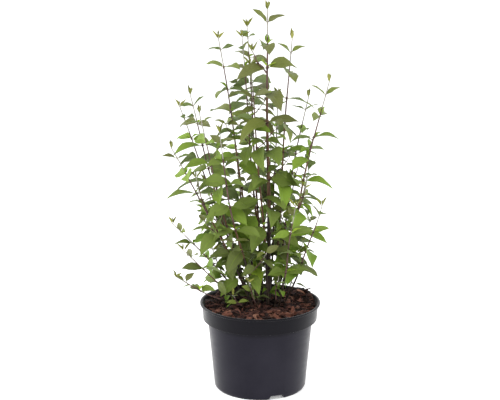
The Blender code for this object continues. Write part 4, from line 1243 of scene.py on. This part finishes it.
cane_nodes = ["cane_" + cane.name for cane in CANES]
spray_nodes = ["spray_" + cane.name for cane in CANES]
foliage_nodes = spray_nodes + shoot_names
tall = [spray.stem for spray in sprays if spray.name not in shoot_names]
thin = [arm for spray in sprays for arm in spray.arms]
thin += [spray.stem for spray in sprays if spray.name in shoot_names]
short = [twig for spray in sprays for twig in spray.twigs]
canes = make_limbs("canes", tall, stations=170, seed=61)
add_to_plant(canes, "cane_bark", *cane_nodes, *spray_nodes)
arms = make_limbs("arms_and_shoots", thin, stations=90, seed=62)
add_to_plant(arms, "cane_bark", *foliage_nodes)
twigs = make_limbs("twigs", short, stations=30, seed=63)
add_to_plant(twigs, "cane_bark", *spray_nodes)

# %% [markdown]
# ## Buds
#
# In the axil of every leaf sits a small pointed bud, pressed to the cane. Hundreds of them are one mesh of
# short spindles, each leaning up and out from its joint.

# %% Buds at the joints
BUD_LENGTH = 3.0 * MM
BUD_RUN = np.array([0.12, 0.45, 0.8])  # where its rings are, as shares of its length
BUD_RADII = np.array([0.75, 1.0, 0.5]) * 0.75 * MM
BUD_ABOVE = 1.2 * MM  # the joint
BUD_SUNK = 0.9  # of the cane's radius: how far out it sits
BUD_LEAN = 0.5
FULL_SIZE_CANE = 1.5 * MM  # a cane of this radius has buds of full size
BUD_LEAST, STOUTEST = 0.7, 1.5  # size on the thinnest twig, and how much stouter than that cane counts

bud_finish = bark_finish("bud_scales", (0.075, 0.028, 0.018), (0.170, 0.085, 0.045))
seats, ways, sizes = [], [], []
for stem in (stem for spray in sprays for stem in [spray.stem, *spray.arms, *spray.twigs]):
    path, thick = stem.fine
    for place, turn in stem.joints:
        there = along(path, place + BUD_ABOVE)
        radius = np.interp(place + BUD_ABOVE, runs_along(path), thick)
        for side in (0.0, math.pi):
            out = heading(turn + side)
            seats.append(there + out * radius * BUD_SUNK)
            ways.append(out * BUD_LEAN + UP)
            sizes.append(BUD_LEAST + (1 - BUD_LEAST) * min(radius / FULL_SIZE_CANE, STOUTEST))
seats, ways, sizes = np.array(seats), unit(np.array(ways)), np.array(sizes)[:, None]
paths = seats[:, None] + ways[:, None] * BUD_RUN[:, None] * BUD_LENGTH * sizes[..., None]
bud_shape = skin(round_rings(paths, BUD_RADII * sizes, 6), seats, seats + ways * BUD_LENGTH * sizes)
buds = make_piece("buds", bud_shape, [bud_finish], crease=70.0)
add_to_plant(buds, "cane_bark", *foliage_nodes)

# %% [markdown]
# ## Leaf blades
#
# The leaf of a panicle hydrangea is oval with a drawn-out tip, a little folded along its midrib, and slightly
# wavy and uneven at its edge. A flat ring of five points carries that shape: two at the edges, two above
# beside the midrib and one below it. So the midrib is a narrow strip of its own, and the underside can have
# its paler finish. The strips below are split along the same diagonals as those above them, so that the thin
# blade bends on both sides alike. Eight rings and two end points are 45 faces, few enough for a whole crown.

# %% Outline of a leaf
OUTLINE_POWERS = (0.8, 1.35)


def outline(share):
    """Half-width of a blade, one at its widest: a power of the way from the base times a power of the way
    to the tip."""
    near, far = OUTLINE_POWERS
    widest = near / (near + far)
    return (share / widest) ** near * ((1 - share) / (1 - widest)) ** far


print("widest at", round(OUTLINE_POWERS[0] / sum(OUTLINE_POWERS), 2), "of the blade")

# %% Midribs and rings of many leaves
STALK_SHARE = 0.085  # of a leaf's length, bare
LEAF_ROWS = np.array([0.03, 0.11, 0.22, 0.35, 0.49, 0.64, 0.79, 0.92])
# Of each point of a ring: its way across, and whether it lies below the blade or in the midrib's groove
LEAF_ACROSS = np.array([-1.0, 0.0, 1.0, 0.045, -0.045])
LEAF_BELOW = np.array([0, 1, 0, 0, 0])
LEAF_GROOVE = np.array([0, 0, 0, 1, 1])
LEAF_SIDE = (LEAF_ACROSS > 0).astype(int)
LEAF_CROSSED = (0, 1)  # the strips below
BLADE_THICKNESS = 0.4 * MM
GROOVE = 0.15 * MM
EDGE_WAVE = 0.19  # of the half-width
WAVES = 7.0  # radians over the length of a leaf
SIDES_APART = 1.3  # radians by which the wave runs ahead at one edge, and behind at the other
SLIMMER = 0.88  # than the solid's kite, because an oval fills more of its width


def midribs(leaves, share):
    """leaf_line for many leaves, each with its own twist about the midrib, and with a sideways sweep that
    grows with the square of the way to the tip: middle, side and normal[leaf, row]."""
    leaf = Leaf(*(leaves[field][:, None] for field in Leaf._fields))
    twisted = leaf.roll + leaves["twist"][:, None] * (share - LEAF_WIDEST)
    middle, side, normal = leaf_line(leaf._replace(roll=twisted), share)
    swept = leaves["sweep"][:, None] * leaf.length * share**2
    return middle + swept[..., None] * np.cross(UP, heading(leaf.bearing)), side, normal


def blade_rings(leaves):
    """Rings, base points and tip points of many blades. A point's place is the midrib's, plus its way across
    times the half-width, turned up by the fold and lifted at the edge by the wave."""
    middle, side, normal = midribs(leaves, STALK_SHARE + (1 - STALK_SHARE) * LEAF_ROWS[None])
    across, fold = LEAF_ACROSS[None, None], leaves["fold"][:, None, None]
    half = (SLIMMER * leaves["width"] * leaves["length"] / 2)[:, None] * outline(LEAF_ROWS)
    half = half[..., None] * (1 + leaves["uneven"][..., LEAF_SIDE] * across**2)
    phase = leaves["phase"][:, None, None] + SIDES_APART * np.sign(across)
    wave = EDGE_WAVE * np.sin(WAVES * LEAF_ROWS[None, :, None] + phase) * across**2
    lift = (np.abs(across) * np.sin(fold) + wave) * half
    lift -= LEAF_GROOVE * GROOVE + LEAF_BELOW * BLADE_THICKNESS
    out = across * np.cos(fold) * half
    rings = middle[:, :, None] + side[:, :, None] * out[..., None] + normal[:, :, None] * lift[..., None]
    ends, _, _ = midribs(leaves, np.array([[STALK_SHARE, 1.0]]))
    return rings, ends[:, 0], ends[:, 1]


print("points round a blade:", len(LEAF_ACROSS), "and rings along it:", len(LEAF_ROWS))

# %% [markdown]
# No two leaves are bent alike. Each draws its own twist, sweep, wave, fold and uneven edge, and the young
# leaves of a tip are folded most.

# %% Every leaf's own bend
TWIST = 0.6
SWEEP = 0.1  # of a leaf's length: how far its tip is bent sideways
FOLDS = (0.5, 1.6)  # shares of the solid's fold
YOUNG_FOLD = math.radians(48)
AXIL_FOLD = 0.6  # of a young leaf's
UNEVEN = 0.05  # of the half-width, at random, at each ring and side


def leaf_table(chosen, rng):
    """The leaves' values as one array each, with a twist, a wave, a fold and an uneven edge of their own."""
    columns = {field: np.array([getattr(leaf, field) for leaf in chosen]) for field in Leaf._fields}
    count, order = len(chosen), columns["order"]
    columns["twist"] = rng.uniform(-TWIST, TWIST, count)
    columns["phase"] = rng.uniform(0, 2 * math.pi, count)
    columns["sweep"] = rng.uniform(-SWEEP, SWEEP, count) * (order >= 0)
    grown_folds = LEAF_FOLD * rng.uniform(*FOLDS, count)
    young_folds = np.where(order < 0, 1.0, AXIL_FOLD) * YOUNG_FOLD
    columns["fold"] = np.where((order < 0) | (order == AXIL_ORDER), young_folds, grown_folds)
    columns["uneven"] = rng.normal(0.0, UNEVEN, (count, len(LEAF_ROWS), 2))
    return columns


grown = [leaf for spray in sprays for leaf in spray.leaves]
small = [leaf for spray in sprays for leaf in finer[spray.name]]
print("leaves to shape:", len(grown), "and", len(small), "small ones")

# %% [markdown]
# ## Leaf colours
#
# Seen from a step away, the colour of this plant lies in how its leaves differ: yellow-green tips, olive
# upper leaves with a greyish bloom, fresh green ones in the middle of the crown, and darker ones low down,
# whose darker colours are a painted shade. So each leaf takes one plain colour by its age and height, shifted
# a little by the tone of its spray, deep, plain or fresh. Veins are relief only. They sweep forward from the
# midrib in arcs, so they follow lines on which the way along the leaf, less a share of the way across it, is
# the same.

# %% Relief of the veins
VEIN_ARC, VEIN_SWEEP, VEIN_PAIRS = 1.25, 0.3, 8.0  # power of the arc, how far it sweeps forward, how many
VEIN_SHARP = 9.0  # power that makes a vein narrow


def calculate(nodes, links, kind, first, second=0.0):
    """A Math node's result for two values, each a number or the socket of another node."""
    node = nodes.new("ShaderNodeMath")
    node.operation = kind
    for socket, value in zip(node.inputs, (first, second)):
        if isinstance(value, float):
            socket.default_value = value
        else:
            links.new(value, socket)
    return node.outputs["Value"]


def vein_height(nodes, links):
    """Relief of the veins from the leaf's own map: u runs from base to tip, v from edge to edge. The height
    is a power of twice the distance of the line's value from the middle between two veins."""
    step, split = partial(calculate, nodes, links), nodes.new("ShaderNodeSeparateXYZ")
    links.new(nodes.new("ShaderNodeTexCoord").outputs["UV"], split.inputs["Vector"])
    across = step("POWER", step("ABSOLUTE", split.outputs["Y"]), VEIN_ARC)
    line = step("SUBTRACT", split.outputs["X"], step("MULTIPLY", across, VEIN_SWEEP))
    middle = step("SUBTRACT", step("FRACT", step("MULTIPLY", line, VEIN_PAIRS)), 0.5)
    return step("POWER", step("MULTIPLY", step("ABSOLUTE", middle), 2.0), VEIN_SHARP)


print("pairs of veins:", int(VEIN_PAIRS))

# %% Leaf finishes
LEAF_COLOURS = {  # of each age: its deep, plain and fresh tone
    "tip": ((0.138, 0.155, 0.031), (0.184, 0.199, 0.039), (0.243, 0.249, 0.057)),
    "axil": ((0.165, 0.265, 0.026), (0.225, 0.345, 0.032), (0.300, 0.430, 0.046)),
    "upper": ((0.121, 0.135, 0.036), (0.143, 0.168, 0.035), (0.152, 0.194, 0.035)),
    "middle": ((0.138, 0.190, 0.038), (0.159, 0.238, 0.033), (0.172, 0.268, 0.032)),
    # The lower leaves' darker colours are a painted shade of the low crown.
    "lower": ((0.096, 0.120, 0.032), (0.115, 0.162, 0.027), (0.130, 0.214, 0.026)),
}
BLOOM, SKIN = (0.46, 0.25), (0.56, 0.12)  # roughness and shine, more like wax on the upper leaves


def leaf_finish(name, colour, roughness, shine):
    """A leaf's skin: a plain colour, veins pressed in, and a fine grain that breaks its soft shine."""
    made, nodes, links, shader = start_finish(name, colour, roughness)
    shader.inputs["Specular IOR Level"].default_value = shine
    grain = pattern(nodes, links, 700.0)
    rough = spread_over(nodes, links, grain, roughness - 0.07, roughness + 0.09)
    links.new(rough, shader.inputs["Roughness"])
    sunk = calculate(nodes, links, "SUBTRACT", grain, vein_height(nodes, links))
    relief(nodes, links, shader, sunk, 0.3 * MM, 0.7)
    return made


leaf_finishes = []
for age, colours in LEAF_COLOURS.items():
    for tone, colour in zip(("deep", "plain", "fresh"), colours):
        look = BLOOM if age == "upper" else SKIN
        leaf_finishes.append(leaf_finish(f"leaf_{age}_{tone}", colour, *look))
leaf_finishes.append(leaf_finish("leaf_underside", (0.165, 0.218, 0.078), 0.6, 0.12))
UNDER = len(leaf_finishes) - 1
print("leaf finishes:", len(leaf_finishes))

# %% [markdown]
# The colours are dealt out like cards. A spray draws its tone once, each of its leaves takes that tone or the
# one beside it, and the leaf's age picks the row. Young leaves are as green below as above.

# %% Deal the colours
UPPER_HEIGHT = 0.50
# Below this height leaves take the darker lower colours, a painted shade.
PAINTED_SHADE_BELOW = 0.29
TONE_CHANCE = (0.3, 0.42, 0.28)
TONES = len(TONE_CHANCE)


def age_of(leaf):
    """Which age's colours a leaf takes, by its place on the stem and its height."""
    if leaf.order in (TIP_ORDER, AXIL_ORDER):
        return 0 if leaf.order == TIP_ORDER else 1
    if leaf.order < 1 or leaf.root[2] > UPPER_HEIGHT:
        return 2
    # low down, the darker colours of a painted shade
    return 3 if leaf.root[2] > PAINTED_SHADE_BELOW else 4


def colours_of(leaves, rng):
    """Finish number of each leaf: its age's colours, in the tone of the spray or the one beside it."""
    spray_tone = rng.choice(TONES, p=TONE_CHANCE)
    tones = [int(np.clip(spray_tone + rng.choice([-1, 0, 0, 1]), 0, TONES - 1)) for _ in leaves]
    return [TONES * age_of(leaf) + tone for leaf, tone in zip(leaves, tones)]


grown_colours, small_colours = [], []
for number, spray in enumerate(sprays):
    rng = np.random.default_rng(900 + number)
    grown_colours += colours_of(spray.leaves, rng)
    small_colours += colours_of(finer[spray.name], rng)
print("colours dealt:", len(grown_colours), "and", len(small_colours))


# %% Make the leaves
def skin_map(bodies, along, across, crossed=()):
    """Flat map of skinned bodies: along[ring] by across[point], where across ends one past the last point."""
    rows, columns = strips(len(along), len(across) - 1, crossed)
    quads = np.stack([along[rows], across[columns]], axis=-1).reshape(-1, 2)
    middle = (across[:-1] + across[1:]) / 2
    first = np.stack([middle, across[1:], across[:-1]], axis=1)
    last = np.stack([middle, across[:-1], across[1:]], axis=1)
    fans = np.concatenate([
        np.stack([np.broadcast_to([0.0, along[0], along[0]], first.shape), first], axis=-1),
        np.stack([np.broadcast_to([1.0, along[-1], along[-1]], last.shape), last], axis=-1),
    ]).reshape(-1, 2)
    return np.concatenate([np.tile(quads, (bodies, 1)), np.tile(fans, (bodies, 1))])


def leaf_slots(numbers, stations):
    """Finish of each strip round each leaf: below, below, blade, rib, blade. The rib is one tone fresher."""
    under = np.where(numbers < 2 * TONES, numbers, UNDER)  # the first two ages keep their own
    rib = np.minimum(numbers + 1, numbers // TONES * TONES + TONES - 1)
    bands = np.stack([under, under, numbers, rib, numbers], axis=-1)
    return skin_slots(bands[:, None], len(numbers), stations, len(LEAF_ACROSS))


def make_leaves(name, chosen, numbers, seed):
    """One mesh of many leaves."""
    shape = skin(*blade_rings(leaf_table(chosen, np.random.default_rng(seed))), LEAF_CROSSED)
    closed = np.append(LEAF_ACROSS, LEAF_ACROSS[0])
    flat = skin_map(len(chosen), STALK_SHARE + LEAF_ROWS, closed, LEAF_CROSSED)
    slots = leaf_slots(np.array(numbers), len(LEAF_ROWS))
    return make_piece(name, shape, leaf_finishes, slots, flat, crease=50.0)


leaves = make_leaves("leaves", grown, grown_colours, 31)
small_leaves = make_leaves("small_leaves", small, small_colours, 32)
add_to_plant(leaves, "leaf_green", *foliage_nodes)
add_to_plant(small_leaves, "leaf_green", *foliage_nodes)

# %% [markdown]
# ## Leaf stalks
#
# A short stalk carries each blade out of the cane. It follows the leaf's own line, and is a little thicker
# where it clasps the joint.

# %% Stalks
STALK_RUN = np.array([0.0, 0.35, 0.7, 1.05])  # its rings, as shares of the bare length
STALK_END = 1.2  # of the bare length too: a little inside the blade
STALK_RADII = np.array([1.15, 0.8, 0.7, 0.6]) * MM
FULL_SIZE_LEAF = 55 * MM  # a leaf of this length has a stalk of those radii
STALK_SIZES = (0.35, 1.15)  # of the smallest and the largest leaf, against that
stalk_finish, nodes, links, shader = start_finish("leaf_stalk", (0.190, 0.200, 0.070), 0.5)
relief(nodes, links, shader, pattern(nodes, links, 500.0, 2.0), 0.1 * MM, 0.4)

everyone = leaf_table(grown + small, np.random.default_rng(33))
path, _, _ = midribs(everyone, STALK_RUN[None] * STALK_SHARE)
tip, _, _ = midribs(everyone, np.array([[STALK_END * STALK_SHARE]]))
size = np.clip(everyone["length"] / FULL_SIZE_LEAF, *STALK_SIZES)[:, None]
stalk_shape = skin(round_rings(path, STALK_RADII * size, 6), path[:, 0], tip[:, 0])
stalks = make_piece("leaf_stalks", stalk_shape, [stalk_finish], crease=70.0)
add_to_plant(stalks, "leaf_green", *foliage_nodes)

# %% [markdown]
# ## Bark chips
#
# Shredded bark is flat broken plates, long splinters, and crumbs between. All three are rings of points
# again, with each point pushed in or out at random so that the edges look torn.

# %% Chips as skinned bodies
# Form of a chip: where its rings are, their widths, points round it, how ragged and how bent it is
Form = namedtuple("Form", "run wide_at around ragged curl")
PLATE = Form(np.array([0.03, 0.28, 0.52, 0.77, 0.97]), (0.42, 0.9, 1.0, 0.85, 0.34), 8, 0.22, 0.25)
SPLINTER = Form(np.array([0.02, 0.25, 0.5, 0.75, 0.98]), (0.4, 0.9, 1.0, 0.85, 0.35), 6, 0.14, 0.35)
CRUMB = Form(np.array([0.08, 0.5, 0.92]), (0.55, 1.0, 0.5), 6, 0.3, 0.2)
BOXY = (0.6, 0.8)  # powers that square a ring's corners, across and up: under 1 is squarer than an ellipse
FLAT_ENDS = 0.6  # how much of its height a chip keeps where it is narrow
END_REACH = 0.03  # of a chip's length: how far its end points stand out


def lying_axes(yaw, tilt, lean):
    """Three axes for each chip: along it, across it and up, after a yaw, a tilt of its length, and a lean."""
    along_it = heading(yaw) * np.cos(tilt)[:, None] + np.sin(tilt)[:, None] * UP
    level = np.cross(UP, heading(yaw))
    across_it = np.cos(lean)[:, None] * level + np.sin(lean)[:, None] * np.cross(along_it, level)
    return along_it, across_it, np.cross(along_it, across_it)


def chip_rings(place, size, axes, form, rng):
    """Rings and end points of many chips of one form. Size is the length, width and height of each. A point
    goes round a boxy ring, is pushed in or out at random, and follows the chip's bend and sway."""
    turn = (np.arange(form.around) + 0.5) / form.around * 2 * math.pi
    x, y = (np.sign(way) * np.abs(way) ** power for way, power in zip((np.cos(turn), np.sin(turn)), BOXY))
    rough = 1 + rng.normal(0.0, form.ragged, (len(place), len(form.run), form.around, 2))
    length, width, height = (size[:, i][:, None, None] for i in range(3))
    bend = rng.normal(0.0, form.curl, (len(place), 1)) * (form.run - 0.5) ** 2 * size[:, :1]
    sway = rng.normal(0.0, form.curl, (len(place), 1)) * np.sin(3 * form.run) * size[:, :1] * 0.5
    wide = np.array(form.wide_at)[None, :, None]
    across = width / 2 * wide * x * rough[..., 0] + sway[..., None]
    above = height / 2 * (FLAT_ENDS + (1 - FLAT_ENDS) * wide) * y * rough[..., 1] + bend[..., None]
    ahead = (form.run[None, :, None] - 0.5) * length + 0 * across
    rings = place[:, None, None]
    for way, axis in zip((ahead, across, above), axes):
        rings = rings + way[..., None] * axis[:, None, None]
    ends = rings.mean(axis=2)
    reach = axes[0] * size[:, :1] * END_REACH
    return rings, ends[:, 0] - reach, ends[:, -1] + reach


print("points round a plate, a splinter and a crumb:", PLATE.around, SPLINTER.around, CRUMB.around)


# %% Chip finishes
def chip_finish(name, dark, light):
    """Bark: fibres run along the chip by its own map, dark between the ridges."""
    fibres = dict(scale=26.0, detail=6.0, stretch=(0.12, 1.0, 1.0), source="UV")
    return two_tone_finish(name, dark, light, fibres, (0.9, 0.65), (0.8 * MM, 0.8), 0.2)


CHIP_COLOURS = (
    ("bark_dark", (0.006, 0.003, 0.003), (0.022, 0.010, 0.008)),
    ("bark_brown", (0.025, 0.0105, 0.0095), (0.094, 0.038, 0.028)),
    ("bark_red", (0.062, 0.023, 0.016), (0.190, 0.073, 0.046)),
    ("bark_pale", (0.135, 0.058, 0.036), (0.320, 0.158, 0.104)),
)
chip_finishes = [chip_finish(*colours) for colours in CHIP_COLOURS]
print("chip finishes:", len(chip_finishes))

# %% [markdown]
# The chips lie on the lumpy ground, tipped a little, and reach no further than the pot's wall. Most plates
# lie at the front and the right, and the back left is finer, and darker by a painted shade. No chip lies on
# the foot of a cane.

# %% Where the chips lie
FRONT_WAY = np.array([0.45, -0.9])
FEET = np.array([cane.foot for cane in CANES + SHOOTS]) * MM
FEET_ROOM = np.array([cane.girth + 3.5 for cane in CANES + SHOOTS]) * MM  # from a chip's middle
WALL_INSIDE = 106.7 * MM


def front_share(places, reach):
    """How far a place lies to the front and right, from nothing to one across the reach."""
    return np.clip(0.5 + 0.5 * (places @ FRONT_WAY) / reach, 0, 1)


def strewn(count, reach, front, rng):
    """Places on the bark, denser towards the front and right by the share called front."""
    places = np.empty((0, 2))
    while len(places) < count:
        more = rng.uniform(-reach, reach, (4 * count, 2))
        near = front_share(more, reach) ** 2
        keep = (np.hypot(*more.T) < reach) & (rng.random(len(more)) < 1 - front + front * near)
        places = np.concatenate([places, more[keep]])
    return places[:count]


def within_wall(points):
    """Points whose distance from the pot's axis is cut to the wall's, so that chips lie against it."""
    out = np.hypot(points[..., 0], points[..., 1])
    share = np.minimum(1.0, WALL_INSIDE / np.maximum(out, MM))[..., None]
    return points * np.concatenate([share, share, np.ones_like(share)], axis=-1)


def settled_places(places, length, yaw, reach):
    """Chips drawn in from the wall by as much as their ends would pass it, and pushed off the canes' feet."""
    ahead = heading(yaw)[:, :2] * length[:, None] / 2
    far = np.maximum(np.hypot(*(places + ahead).T), np.hypot(*(places - ahead).T))
    out = np.hypot(*places.T)[:, None]
    places = places - places / np.maximum(out, MM) * np.clip(far - reach, 0, None)[:, None]
    away = places[:, None] - FEET
    gap = np.hypot(away[..., 0], away[..., 1])
    push = np.clip(FEET_ROOM - gap, 0, None)
    return places + (away / np.maximum(gap, 0.1 * MM)[..., None] * push[..., None]).sum(axis=1)


print("feet to keep clear of:", len(FEET))

# %% Kinds of chips
Chips = namedtuple("Chips", "name count sizes tilt layer front form chances seed")
# Sizes are length, width and height, and layer is the height above the ground, all from and to in mm. Front
# is the share that keeps to the front and right, and chances are those of the four finishes.
CHIP_KINDS = (
    Chips("fresh_plates", 36, ((17, 38), (6.5, 13.5), (1.5, 3.0)), 0.36, (3.5, 6.5), 1.0, PLATE,
          (0.0, 0.2, 0.45, 0.35), 70),
    Chips("bark_plates", 260, ((13, 42), (4.5, 13), (1.3, 2.8)), 0.4, (0.5, 5.5), 0.8, PLATE,
          (0.30, 0.43, 0.24, 0.03), 71),
    Chips("bark_splinters", 400, ((14, 46), (0.9, 3.0), (0.7, 1.6)), 0.38, (1.5, 6.5), 0.6, SPLINTER,
          (0.36, 0.36, 0.2, 0.08), 72),
    Chips("bark_crumbs", 1500, ((2, 6.5), (1.5, 4.5), (1.0, 3.0)), 0.9, (-0.5, 2.5), 0.0, CRUMB,
          (0.64, 0.28, 0.06, 0.02), 73),
)
print("chips:", sum(kind.count for kind in CHIP_KINDS))

# %% Strew the chips
SHORT_SKEW = 1.7  # over 1 makes short chips more common than long ones
END_TILT = 0.7  # a chip is tipped lengthwise by this share of its tilt
SHADED_SHARE = 0.9  # of the chips at the back left, one tone darker: a painted shade
TIP_TO_TIP = 0.95  # of its length counts where a chip meets the wall
WALL_REACH = 105.5 * MM

for kind in CHIP_KINDS:
    rng, count, form = np.random.default_rng(kind.seed), kind.count, kind.form
    shares = rng.random(count) ** SHORT_SKEW, rng.random(count), rng.random(count)
    sides = [low + (high - low) * share for (low, high), share in zip(kind.sizes, shares)]
    size = np.stack(sides, axis=1) * MM
    yaw = rng.uniform(0, 2 * math.pi, count)
    places = strewn(count, WALL_REACH, kind.front, rng)
    places = settled_places(places, TIP_TO_TIP * size[:, 0], yaw, WALL_REACH)
    height = ground(places[:, 0], places[:, 1]) + rng.uniform(*kind.layer, count) * MM
    axes = lying_axes(yaw, rng.normal(0, kind.tilt, count) * END_TILT, rng.normal(0, kind.tilt, count))
    body = chip_rings(np.column_stack([places, height]), size, axes, form, rng)
    shift = rng.uniform(0, 50, (count, 2))
    flat = skin_map(count, form.run, np.linspace(0, 1, form.around + 1))
    corners = form.around * np.array([4 * (len(form.run) - 1), 6])  # of a chip's quads, and of its fans
    flat = flat + np.concatenate([np.repeat(shift, each, axis=0) for each in corners])
    numbers = rng.choice(len(chip_finishes), count, p=kind.chances)
    # Chips at the back left take a darker finish, a painted shade.
    shaded = rng.random(count) < SHADED_SHARE * (1 - front_share(places, WALL_REACH))
    numbers = np.where(shaded, np.maximum(numbers - 1, 0), numbers)
    slots = skin_slots(numbers[:, None, None], count, len(form.run), form.around)
    shape = skin(*(within_wall(points) for points in body))
    chips = make_piece(kind.name, shape, chip_finishes, slots, flat, crease=28.0)
    add_to_plant(chips, "bark_mulch", "bark_mulch")
